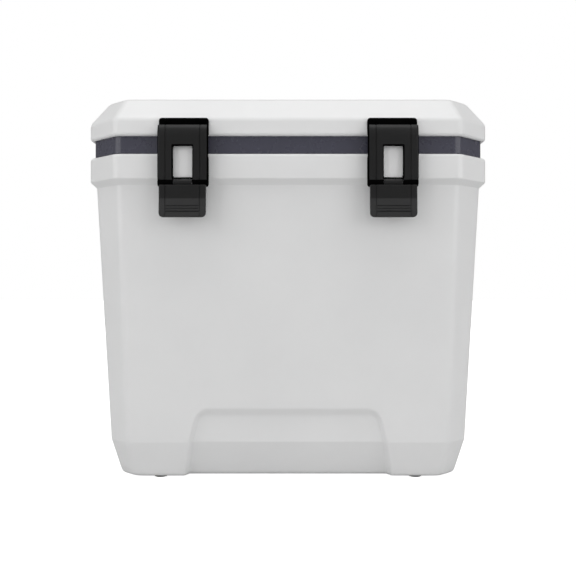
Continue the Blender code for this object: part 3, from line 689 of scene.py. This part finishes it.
def build_tub_shell():
    outside = [
        (SOLE_INSET + SOLE_BORDER, SOLE_Z, 0),
        (SOLE_INSET, SOLE_Z, 0.006),
        (CREASE_INSET, CREASE_Z, 0.010),
        (wall_inset(ARCH_LOW_Z), ARCH_LOW_Z, 0),
        (wall_inset(ARCH_LIMIT_Z), ARCH_LIMIT_Z, 0),
        (COLLAR_LOW_INSET, COLLAR_LOW_Z, 0.0012),
        (0, COLLAR_Z, 0.0022),
        (0, RIM_Z, 0.0030),
        (LIP_WIDTH, RIM_Z, 0.0006),
        (LIP_WIDTH, RIM_Z - SHELL_WALL, 0),
    ]
    under_lip = RIM_Z - SHELL_WALL
    inside = [
        (SHELL_WALL, under_lip, 0),
        (SHELL_WALL, COLLAR_Z - 0.001, 0),
        (COLLAR_LOW_INSET + SHELL_WALL, COLLAR_LOW_Z - 0.001, 0),
        (wall_inset(ARCH_LIMIT_Z) + SHELL_WALL, ARCH_LIMIT_Z, 0),
        (CREASE_INSET + SHELL_WALL, CREASE_Z, 0),
        (SOLE_INSET + SHELL_WALL, SOLE_Z + SHELL_WALL, 0),
        (SOLE_INSET + SOLE_BORDER, SOLE_Z + SHELL_WALL, 0),
    ]
    outer_path = fill_levels(rounded_path(outside), outer_spacing)
    inner_path = fill_levels(rounded_path(inside), inner_spacing)
    rings = [tub_ring(inset, level, 0.0) for inset, level in outer_path]
    rings += [tub_ring(inset, level, SHELL_WALL) for inset, level in inner_path]
    cuts = []
    backings = []
    for _, sign in SIDES:
        backings.append(backing(grip_outline, GRIP_FLOOR_X, sign))
        cuts.append(wall_lip_cutter(grip_outline, GRIP_FLOOR_X, sign, GRIP_LIP))
    backings.append(backing(drain_outline, DRAIN_POCKET_X, 1))
    cuts.append(wall_lip_cutter(drain_outline, DRAIN_POCKET_X, 1, DRAIN_LIP, fillet=0.001))
    cuts.append(drain_hole())
    add_piece("outer_shell", loft(rings), "white_plastic", cuts, backings)


def drain_hole():
    low, high = box_of("drain_bushing")
    start = (low.x - 0.012, 0, DRAIN_Z)
    return rod(DRAIN_SLEEVE_RADIUS + GAP, start, (high.x, 0, DRAIN_Z), 32)


def build_liner():
    wall = LINER_WALL
    floor_z = LINER_LOW.z + wall
    profile = [
        (CAVITY_FLOOR_INSET + 0.012, LINER_LOW.z, 0),
        (CAVITY_FLOOR_INSET - wall, LINER_LOW.z, 0.010),
        (CAVITY_RIM_INSET - wall, RIM_Z - wall, 0),
        (LIP_WIDTH + GAP, RIM_Z - wall, 0),
        (LIP_WIDTH + GAP, RIM_Z, 0.0004),
        (CAVITY_RIM_INSET, RIM_Z, 0.0025),
        (CAVITY_FLOOR_INSET, floor_z, 0.011),
        (CAVITY_FLOOR_INSET + 0.012, floor_z, 0),
    ]
    add_piece("inner_liner", plan_loft(profile), "white_plastic", [drain_hole()])


def build_feet():
    for end in ("front", "back"):
        for side, _ in SIDES:
            node = f"foot_{end}_{side}"
            low, high = box_of(node)
            radius = (high.x - low.x) / 2
            top = high.z
            pad = SOLE_Z - GAP
            profile = [(radius - 0.004, 0)]
            profile += [(radius - 0.0012 + x, 0.0012 + z) for x, z in arc((0, 0), 0.0012, -90, 0, 4)]
            profile += [(radius, pad), (0.003, pad), (0.003, top)]
            place = ((low.x + high.x) / 2, (low.y + high.y) / 2, 0)
            add_piece(node, turned(profile, place, (0, 0, 1), 36), "grey_rubber")


# ---------------------------------------------------------------- drain

def build_drain():
    place = (0, 0, DRAIN_Z)
    along_x = (1, 0, 0)
    low, high = box_of("drain_bushing")
    flange_in = DRAIN_POCKET_X + GAP
    rim = high.x
    bushing = [
        (DRAIN_BORE_RADIUS, rim),
        (DRAIN_FLANGE_RADIUS - 0.0008, rim),
        (DRAIN_FLANGE_RADIUS, rim - 0.0008),
        (DRAIN_FLANGE_RADIUS, flange_in),
        (DRAIN_SLEEVE_RADIUS, flange_in),
        (DRAIN_SLEEVE_RADIUS, low.x + 0.0006),
        (DRAIN_SLEEVE_RADIUS - 0.0006, low.x),
        (DRAIN_BORE_RADIUS, low.x),
    ]
    add_piece("drain_bushing", turned(bushing, place, along_x, 48, closed=True), "black_plastic")

    low, high = box_of("drain_seal")
    middle = (low.x + high.x) / 2
    half = (high.x - low.x) / 2
    seal = [(0.010 + 0.002 * c, middle + half * s) for c, s in arc((0, 0), 1, 0, 330, 11)]
    add_piece("drain_seal", turned(seal, place, along_x, 48, closed=True), "grey_rubber")

    low, high = box_of("drain_plug")
    cap_in = box_of("drain_seal")[1].x + GAP
    cap_out = cap_in + PLUG_CAP_LENGTH
    steps = 96
    rings = []
    for radius, x, ribs in (
        (0.0061, low.x, 0),
        (0.0061, cap_in, 0),
        (0.0132, cap_in, 0),
        (0.0138, cap_in + 0.0006, 1),
        (0.0139, cap_out - 0.002, 1),
        (0.0134, cap_out - 0.0008, 0.6),
        (0.0124, cap_out, 0),
        (0.0100, cap_out, 0),
    ):
        ring = []
        for step in range(steps):
            turn = 2 * math.pi * step / steps
            size = radius - 0.0004 * ribs * (0.5 + 0.5 * math.cos(PLUG_RIBS * turn))
            ring.append((x, size * math.cos(turn), DRAIN_Z + size * math.sin(turn)))
        rings.append(ring)
    bar_outline = rectangle((-0.0025, DRAIN_Z - 0.011), (0.0025, DRAIN_Z + 0.011), [0.002] * 4)
    bar = plate_along_x(bar_outline, cap_out - 0.003, high.x)
    add_piece("drain_plug", loft(rings), "black_plastic", joins=[bar])


# ---------------------------------------------------------------- lid

def build_lid_cap():
    slope = CAP_TOP_INSET / (HEIGHT - CAP_CREASE_Z)
    inner_top = HEIGHT - CAP_WALL
    inner_crease = CAP_CREASE_Z - 0.0015
    inner_top_inset = CAP_WALL + slope * (inner_top - inner_crease)
    profile = [
        (inner_top_inset + 0.004, inner_top, 0),
        (inner_top_inset, inner_top, 0),
        (CAP_WALL, inner_crease, 0.006),
        (CAP_WALL, CAP_LOW.z, 0.0004),
        (0, CAP_LOW.z, 0.0030),
        (0, CAP_CREASE_Z, 0.009),
        (CAP_TOP_INSET, HEIGHT, 0.0075),
        (PANEL_INSET, HEIGHT, 0.0015),
        (PANEL_INSET + 0.003, HEIGHT - PANEL_DEPTH, 0.0015),
        (PANEL_INSET + 0.008, HEIGHT - PANEL_DEPTH, 0),
    ]
    add_piece("lid_cap", plan_loft(profile), "white_plastic")


def build_lid_tray():
    inner = TRAY_INSET + TRAY_WALL
    floor = TRAY_Z + TRAY_FLOOR
    groove_in, groove_out = GROOVE_INSETS
    groove_z = TRAY_Z + GROOVE_DEPTH
    profile = [
        (PLUG_INSET + 0.008, TRAY_LOW.z, 0),
        (PLUG_INSET, TRAY_LOW.z, 0.002),
        (PLUG_INSET - 0.0005, TRAY_Z, 0.0005),
        (groove_out, TRAY_Z, 0.0003),
        (groove_out, groove_z, 0),
        (groove_in, groove_z, 0),
        (groove_in, TRAY_Z, 0.0003),
        (TRAY_INSET, TRAY_Z, 0.0012),
        (TRAY_INSET, TRAY_HIGH.z, 0),
        (inner, TRAY_HIGH.z, 0),
        (inner, floor, 0),
        (PLUG_INSET + 0.003, floor, 0),
        (PLUG_INSET + 0.003, TRAY_LOW.z + 0.003, 0),
        (PLUG_INSET + 0.008, TRAY_LOW.z + 0.003, 0),
    ]
    add_piece("lid_tray", plan_loft(profile), "violet_grey_plastic")


def build_gasket():
    """A soft strip with a round lower edge, all the way round under the lid."""
    low, high = box_of("lid_gasket")
    outer = GROOVE_INSETS[0] + GAP
    inner = GROOVE_INSETS[1] - GAP
    profile = [
        (outer, low.z, 0.0009),
        (outer, high.z, 0),
        (inner, high.z, 0),
        (inner, low.z, 0.0009),
    ]
    points = [(inset, level) for inset, level, _ in profile]
    path = round_corners(points, [radius for _, _, radius in profile], 4)
    mesh = loft([plan_outline(inset, level) for inset, level in path], around=True)
    add_piece("lid_gasket", mesh, "grey_rubber")


# ---------------------------------------------------------------- screws and pins

def cross_cutter(seat, direction):
    """Two crossed bars that make a driver recess in a screw head."""
    turn = Vector(direction).to_track_quat("Z", "Y").to_matrix().to_4x4()
    matrix = Matrix.Translation(Vector(seat)) @ turn
    bars = []
    for length, width in ((0.0030, 0.0006), (0.0006, 0.0030)):
        low = (-length / 2, -width / 2, HEAD_HEIGHT * 0.35)
        mesh = block(low, (length / 2, width / 2, HEAD_HEIGHT * 3))
        mesh.transform(matrix)
        bars.append(mesh)
    return bars


def build_screw(node, slot, look=None):
    """A pan-head screw with a cross recess. Its head is at the end away from the chest."""
    low, high = box_of(node)
    x = (low.x + high.x) / 2
    z = (low.z + high.z) / 2
    if low.y < 0:
        way = (0, -1, 0)
        seat = (x, low.y + HEAD_HEIGHT, z)
    else:
        way = (0, 1, 0)
        seat = (x, high.y - HEAD_HEIGHT, z)
    dome = [(HEAD_RADIUS * math.cos(a), HEAD_HEIGHT * math.sin(a)) for a in (0.35, 0.75, 1.1, 1.4)]
    profile = [
        (SHANK_RADIUS * 0.2, -SCREW_REACH),
        (SHANK_RADIUS, 0.002 - SCREW_REACH),
        (SHANK_RADIUS, 0),
        (HEAD_RADIUS, 0),
        *dome,
        (HEAD_RADIUS * 0.08, HEAD_HEIGHT),
    ]
    add_piece(node, turned(profile, seat, way, 24), slot, cross_cutter(seat, way), look=look)


def build_pin(node, crown=0.0004):
    low, high = box_of(node)
    y = (low.y + high.y) / 2
    z = (low.z + high.z) / 2
    radius = (high.z - low.z) / 2
    add_piece(node, rod(radius, (low.x, y, z), (high.x, y, z), 24, crown), "steel")


# ---------------------------------------------------------------- latches

def outward(points):
    """Turn (distance out, height) points of a latch into (y, z) points."""
    return [(FRONT - out, z) for out, z in points]


def latch_box(x, halves, outs, levels):
    low = (x + halves[0], FRONT - outs[1], levels[0])
    high = (x + halves[1], FRONT - outs[0], levels[1])
    return block(low, high)


def latch_bore(x, half, pin):
    return rod(LATCH_PIN_RADIUS + PIN_GAP, (x - half, pin.y, pin.z), (x + half, pin.y, pin.z))


def pin_place(pin):
    """A pin's place as distance out and height."""
    return (FRONT - pin.y, pin.z)


def stations(half, edge, corner=()):
    """Places across a latch part, each with how far its outline shrinks there.

    The outline shrinks round the two ends, and dips at the grooves. Corner holds more places,
    as distances from the ends.
    """
    spots = []
    for degrees in (90, 67, 45, 22, 0):
        turn = math.radians(degrees)
        spots.append((half - edge + edge * math.sin(turn), edge * (1 - math.cos(turn))))
    spots += [(half - distance, 0) for distance in corner]
    deep = LATCH_GROOVE_DEPTH
    for offset, depth in ((0.0006, 0), (0.0002, deep), (-0.0002, deep), (-0.0006, 0)):
        spots.append((LATCH_GROOVE_X + offset, depth))
    return [(-x, shrink) for x, shrink in spots] + list(reversed(spots))


def shrunk(outline, weights, amount):
    """The outline moved inwards along its normals, each point by its weight."""
    moved = []
    count = len(outline)
    area = sum(outline[i - 1][0] * outline[i][1] - outline[i][0] * outline[i - 1][1] for i in range(count))
    facing = 1 if area > 0 else -1
    for index, point in enumerate(outline):
        back = Vector(outline[index - 1])
        ahead = Vector(outline[(index + 1) % count])
        along = (ahead - back).normalized()
        inwards = Vector((-along.y, along.x)) * facing
        moved.append(Vector(point) + inwards * amount * weights[index])
    return moved


def link_outline(link_pin, lever_pin):
    """The link seen from the side, and how much of the edge rounding each point takes."""
    pin_out = link_pin[0]
    hood = []
    for step in range(13):
        angle = math.radians(75 * step / 12)
        out = pin_out + (LINK_FACE - pin_out) * math.cos(angle)
        hood.append((out, HOOD_Z + HOOD_RISE * math.sin(angle)))
    barrel = arc(link_pin, 0.0044, 100, 205, 8)
    knuckle = arc(lever_pin, KNUCKLE_RADIUS, 175, 385, 14)
    chin = arc((LINK_FACE - CHIN_RADIUS, CHIN_Z), CHIN_RADIUS, -36, 0, 5)
    flange = [(LINK_BACK, 0.357), (LINK_BACK, 0.3125)]
    points = [*chin, *hood, *barrel, *flange, *knuckle]
    weights = [1.0] * (len(chin) + len(hood)) + [0.5] * len(barrel) + [0.0] * len(flange)
    weights += [0.0] * 6 + [0.6] * (len(knuckle) - 6)
    return outward(points), weights


def lug_pocket(link_pin):
    """Room for a bracket lug inside the link, open at the back."""
    out, z = link_pin
    return outward([
        (0, z - 0.0112),
        (out + 0.0036, z - 0.0112),
        (out + 0.0036, z + 0.0013),
        (out + 0.0026, z + 0.0034),
        (out + 0.0012, z + 0.0040),
        (out + 0.0012, z + 0.0080),
        (0, z + 0.0080),
    ])


def window_cutter(x):
    """The link's window, open at the bottom, with a bevelled edge at the front."""
    rings = []
    for out, grow in ((-0.002, 0), (LINK_FACE - 0.0011, 0), (LINK_FACE, 0.0011), (0.02, 0.0020)):
        low = (x - WINDOW_HALF - grow, 0.290)
        high = (x + WINDOW_HALF + grow, WINDOW_TOP_Z + grow)
        ring = rectangle(low, high, [0, 0, 0.0012, 0.0012])
        rings.append([(px, FRONT - out, pz) for px, pz in ring])
    return loft(rings)


def build_link(side, x, link_pin, lever_pin):
    node = "latch_link_" + side
    outline, weights = link_outline(pin_place(link_pin), pin_place(lever_pin))
    sections = []
    for place, shrink in stations(LATCH_HALF, LINK_EDGE):
        ring = shrunk(outline, weights, shrink)
        sections.append([(x + place, y, z) for y, z in ring])
    hollow = LATCH_HALF - LINK_WALL
    # The faces that the hollow and the window cut take the painted shadow black, standing for the shade
    # inside them
    cuts = [
        shade_cut(latch_box(x, (-hollow, hollow), (0, 0.0095), (0.316, 0.3515))),
        shade_cut(window_cutter(x)),
        latch_bore(x, LINK_BORE_HALF, link_pin),
        latch_bore(x, LINK_BORE_HALF, lever_pin),
    ]
    for sign in (-1, 1):
        ends = sorted((x + sign * (LUG_SPAN[0] - GAP), x + sign * (LUG_SPAN[1] + GAP)))
        cuts.append(plate_along_x(lug_pocket(pin_place(link_pin)), *ends))
    mesh = loft(sections)
    edge_faces = 3 * len(outline)
    last_face = len(outline) * (len(sections) - 1) - edge_faces
    # The outermost edge strips and the faces turning under the knuckle take the painted shadow black; the
    # rest is black plastic
    for face in mesh.polygons:
        inner = edge_faces <= face.index < last_face
        turned_under = face.index % len(outline) > len(outline) - KNUCKLE_FACES
        face.material_index = 0 if inner and not turned_under else 1
    add_piece(node, mesh, "black_plastic", cuts, second=LOOKS["shadow_black"])


def finger_outline(notch, lift):
    """The lever seen from the side. Notch is the depth of the upper two grip grooves near its end.

    Lift raises its lower end, for the rounded corners.
    """
    end = LEVER_LOW_Z + lift
    points = [
        (LEVER_NECK_FACE - 0.0006, LEVER_TOP_Z),
        (LEVER_NECK_BACK + 0.0006, LEVER_TOP_Z),
        (LEVER_NECK_BACK + 0.0006, LEVER_TOP_Z - 0.0020),
        (LEVER_NECK_BACK, LEVER_TOP_Z - 0.0027),
        (LEVER_NECK_BACK, GRIP_TOP_Z),
        (LEVER_BACK, LEVER_HEEL_Z),
        (LEVER_BACK, end),
        (LEVER_FACE - 0.0004, end),
        (LEVER_FACE, end + 0.0004),
    ]
    face = [(LEVER_FACE, max(LEVER_HEEL_Z - 0.0018, end + 0.0006))]
    lean = (LEVER_FACE - LEVER_NECK_FACE) / (GRIP_TOP_Z - LEVER_HEEL_Z)
    for level, notches in GRIP_GROOVES:
        out = LEVER_FACE - (level - LEVER_HEEL_Z) * lean
        floor = out - notches * notch
        face += [(out, level - 0.0006), (floor, level - 0.0003), (floor, level + 0.0004)]
        face.append((out, level + 0.0007))
    face += [(LEVER_NECK_FACE, level) for level in (GRIP_TOP_Z, 0.3000, LEVER_TOP_Z - 0.0006)]
    weights = [1, 0, 0, 0, 0, 0, 0, 1, 1] + [1] * len(face)
    return outward(points + face), weights


def build_lever(side, x, lever_pin):
    """The finger plate: rounded edges, a panel between two upright grooves, and three grip grooves."""
    node = "latch_lever_" + side
    pin = pin_place(lever_pin)
    sections = []
    for place, shrink in stations(LEVER_HALF, LEVER_EDGE, (0.0014, 0.0019, 0.0029, LEVER_CORNER)):
        notch = GRIP_NOTCH if abs(place) < LATCH_GROOVE_X - 0.0005 else 0.0
        short = max(0.0, LEVER_CORNER - (LEVER_HALF - abs(place)))
        lift = LEVER_CORNER - math.sqrt(LEVER_CORNER ** 2 - short ** 2)
        outline, weights = finger_outline(notch, lift)
        sections.append([(x + place, y, z) for y, z in shrunk(outline, weights, shrink)])
    tongue = [(0.0135, 0.2990), (0.0135, 0.3056), *arc(pin, 0.0037, -38, 235, 20), (0.0115, 0.2990)]
    solid = plate_along_x(outward(tongue), x - TONGUE_HALF, x + TONGUE_HALF)
    bore = latch_bore(x, TONGUE_HALF + 0.002, lever_pin)
    mesh = loft(sections)
    # Faces below the grip level take the grip look: a real grain, and a lighter colour that is painted light
    for face in mesh.polygons:
        face.material_index = 1 if face.center.z < GRIP_TOP_Z else 0
    add_piece(node, mesh, "black_plastic", [bore], [solid], second=LOOKS["lever_grip_lit_black"])


def build_bracket(side, x, link_pin):
    node = "latch_bracket_" + side
    low, high = box_of(node)
    outline = rectangle((x - LATCH_HALF, low.z), (x + LATCH_HALF, high.z), [0, 0, 0.003, 0.003])
    plate = plate_along_y(outline, FRONT - BRACKET_OUT, FRONT - GAP)
    lug = outward([(0.0012, low.z), *arc(pin_place(link_pin), 0.0026, -90, 122, 12), (0.0012, low.z + 0.003)])
    lugs = []
    for sign in (-1, 1):
        ends = sorted((x + sign * LUG_SPAN[0], x + sign * LUG_SPAN[1]))
        lugs.append(plate_along_x(lug, *ends))
    bore = latch_bore(x, LATCH_HALF, link_pin)
    # The bracket takes the painted shadow black, standing for the shade in the gap above the link's hood
    add_piece(node, plate, "black_plastic", [bore], lugs, bevel=0.0003, look=LOOKS["shadow_black"])


def build_keeper(side, x):
    node = "keeper_base_" + side
    low, high = box_of(node)
    outline = rectangle((x - LATCH_HALF, low.z), (x + LATCH_HALF, high.z), [0.003] * 4)
    plate = plate_along_y(outline, low.y, high.y)
    # The keeper base takes the painted shadow black, giving the shade round the link's edges
    add_piece(node, plate, "black_plastic", bevel=0.0005, look=LOOKS["shadow_black"])
    node = "catch_plate_" + side
    low, high = box_of(node)
    outline = rectangle((low.x, low.z), (high.x, high.z), [0.001] * 4)
    plate = plate_along_y(outline, low.y - CATCH_PROUD, high.y)
    # The catch plate takes the brighter white, painted light that lifts the shade it sits in behind the
    # window
    add_piece(node, plate, "white_plastic", bevel=0.0004, look=LOOKS["catch_plate_lit_white"])


def build_latch(side):
    low, high = box_of("latch_link_" + side)
    x = (low.x + high.x) / 2
    link_pin = JOINT_AT["link_hinge_" + side]
    lever_pin = JOINT_AT["lever_hinge_" + side]
    build_keeper(side, x)
    build_bracket(side, x, link_pin)
    build_link(side, x, link_pin, lever_pin)
    build_lever(side, x, lever_pin)
    for label in "ab":
        build_screw(f"keeper_screw_{side}_{label}", "steel")
        # The bracket screws take the painted shadow black, so they sit unseen in the shade above the link
        build_screw(f"bracket_screw_{side}_{label}", "dark_steel", LOOKS["shadow_black"])
    build_pin("link_pin_" + side)
    build_pin("lever_pin_" + side)


# ---------------------------------------------------------------- hinges

def hinge_leaf(node, x, outline, gaps):
    """A leaf with its barrel, which is cut away over the gaps, each a (low, high) span."""
    cuts = []
    for start, stop in gaps:
        low = (x + start, LEAF_BACK - 0.001, HINGE_Z - 0.010)
        cuts.append(block(low, (x + stop, HINGE_Y + 0.010, HINGE_Z + 0.010)))
    reach = HINGE_HALF + 0.005
    ends = (x - reach, HINGE_Y, HINGE_Z), (x + reach, HINGE_Y, HINGE_Z)
    cuts.append(rod(HINGE_PIN_RADIUS + PIN_GAP, *ends))
    leaf = plate_along_x(outline, x - HINGE_HALF, x + HINGE_HALF)
    add_piece(node, leaf, "black_plastic", cuts, bevel=0.0003)


def build_hinge(side):
    low, high = box_of("hinge_pin_" + side)
    x = (low.x + high.x) / 2
    axis = (HINGE_Y, HINGE_Z)
    body_outline = [
        (LEAF_BACK, 0.316),
        (LEAF_FACE, 0.316),
        (LEAF_FACE, 0.333),
        *arc(axis, BARREL_RADIUS, -25, 200, 28),
        (LEAF_BACK, 0.3385),
    ]
    lid_outline = [
        (LEAF_BACK, 0.3705),
        (LEAF_BACK, 0.3600),
        *arc(axis, BARREL_RADIUS, 150, 400, 28),
        (LEAF_FACE, 0.3615),
        (LEAF_FACE, 0.3705),
    ]
    middle = [(-BARREL_SPLIT - GAP, BARREL_SPLIT + GAP)]
    ends = [(-HINGE_HALF - 0.001, -BARREL_SPLIT), (BARREL_SPLIT, HINGE_HALF + 0.001)]
    hinge_leaf("hinge_body_leaf_" + side, x, body_outline, middle)
    hinge_leaf("hinge_lid_leaf_" + side, x, lid_outline, ends)
    build_pin("hinge_pin_" + side)
    for label in "ab":
        build_screw(f"hinge_body_screw_{side}_{label}", "dark_steel")
        build_screw(f"hinge_lid_screw_{side}_{label}", "dark_steel")


# ---------------------------------------------------------------- studio

def build_world():
    """A white room: brighter overhead, and plain white where the camera sees it."""
    world = bpy.data.worlds.new("studio")
    bpy.context.scene.world = world
    world.use_nodes = True
    tree = world.node_tree
    tree.nodes.clear()
    place = add_node(tree, "ShaderNodeTexCoord")
    split = add_node(tree, "ShaderNodeSeparateXYZ")
    tree.links.new(place.outputs["Generated"], split.inputs["Vector"])
    height = spread(tree, split.outputs["Z"], WORLD_HORIZON, WORLD_ZENITH, 0.0, 1.0)
    behind = spread(tree, split.outputs["Y"], 1.0, WORLD_BEHIND, 0.0, 0.8)
    strength = add_node(tree, "ShaderNodeMath", operation="MULTIPLY")
    tree.links.new(height, strength.inputs[0])
    tree.links.new(behind, strength.inputs[1])
    glow = add_node(tree, "ShaderNodeBackground")
    glow.inputs["Color"].default_value = (1, 1, 1, 1)
    tree.links.new(strength.outputs["Value"], glow.inputs["Strength"])
    plain = add_node(tree, "ShaderNodeBackground")
    plain.inputs["Color"].default_value = (1, 1, 1, 1)
    path = add_node(tree, "ShaderNodeLightPath")
    mixer = add_node(tree, "ShaderNodeMixShader")
    output = add_node(tree, "ShaderNodeOutputWorld")
    tree.links.new(path.outputs["Is Camera Ray"], mixer.inputs["Fac"])
    tree.links.new(glow.outputs["Background"], mixer.inputs[1])
    tree.links.new(plain.outputs["Background"], mixer.inputs[2])
    tree.links.new(mixer.outputs["Shader"], output.inputs["Surface"])


def build_floor():
    size = 12.0
    shape = bmesh.new()
    bmesh.ops.create_grid(shape, x_segments=1, y_segments=1, size=size)
    floor = bpy.data.objects.new("floor", mesh_of(shape))
    bpy.context.scene.collection.objects.link(floor)
    floor.location.z = -0.0002
    material, tree, shader = new_material("floor_look")
    pale = tint(tree, spread(tree, noise(tree, 3, 3), 0, 1), (0.67, 0.67, 0.67), (0.69, 0.69, 0.69))
    tree.links.new(pale, shader.inputs["Base Color"])
    tree.links.new(pale, shader.inputs["Emission Color"])
    path = add_node(tree, "ShaderNodeLightPath")
    glow = spread(tree, path.outputs["Is Camera Ray"], 0, FLOOR_GLOW, 0, 1)
    tree.links.new(glow, shader.inputs["Emission Strength"])
    shader.inputs["Roughness"].default_value = 0.9
    shader.inputs["Specular IOR Level"].default_value = 0.0
    floor.data.materials.append(material)


def add_light(name, place, size, power, target=(0, 0, 0.25)):
    light = bpy.data.lights.new(name, "AREA")
    light.shape = "RECTANGLE"
    light.size, light.size_y = size
    light.energy = power
    lamp = bpy.data.objects.new(name, light)
    lamp.location = place
    lamp.visible_camera = False
    lamp.rotation_euler = (Vector(target) - Vector(place)).to_track_quat("-Z", "Y").to_euler()
    bpy.context.scene.collection.objects.link(lamp)
    return lamp


def build_lights():
    """Soft light from above and from both sides, and fills in front and behind without reflections."""
    add_light("overhead", (0, -0.50, 1.9), (2.6, 1.0), 15.5)
    for side, sign in SIDES:
        add_light("softbox_" + side, (sign * 1.56, -1.11, 0.82), (2.1, 1.3), 12.4)
    for name, y, power in (("front_fill", -3.20, 9.0), ("back_fill", 3.20, 14.0)):
        fill = add_light(name, (0, y, 0.80), (2.4, 1.4), power)
        fill.visible_glossy = False


def build_camera():
    camera = bpy.data.objects.new("camera", bpy.data.cameras.new("camera"))
    camera.data.lens = LENS_MM
    camera.location = (0, CAMERA_Y, CAMERA_Z)
    camera.rotation_euler = (math.pi / 2, 0, 0)
    bpy.context.scene.collection.objects.link(camera)
    bpy.context.scene.camera = camera


# ---------------------------------------------------------------- the whole scene

def paint_cad_nodes():
    """The foam keeps its CAD shape and takes its look here."""
    for node in ("body_foam", "lid_foam"):
        for material_slot in frame["nodes"][node].material_slots:
            material_slot.material = LOOKS["insulation_foam"]


def build_scene():
    bpy.context.scene.view_settings.view_transform = "Standard"
    build_camera()
    build_world()
    build_floor()
    build_lights()
    build_tub_shell()
    build_liner()
    build_feet()
    build_drain()
    build_lid_cap()
    build_lid_tray()
    build_gasket()
    for side, _ in SIDES:
        build_latch(side)
        build_hinge(side)
    paint_cad_nodes()


build_scene()
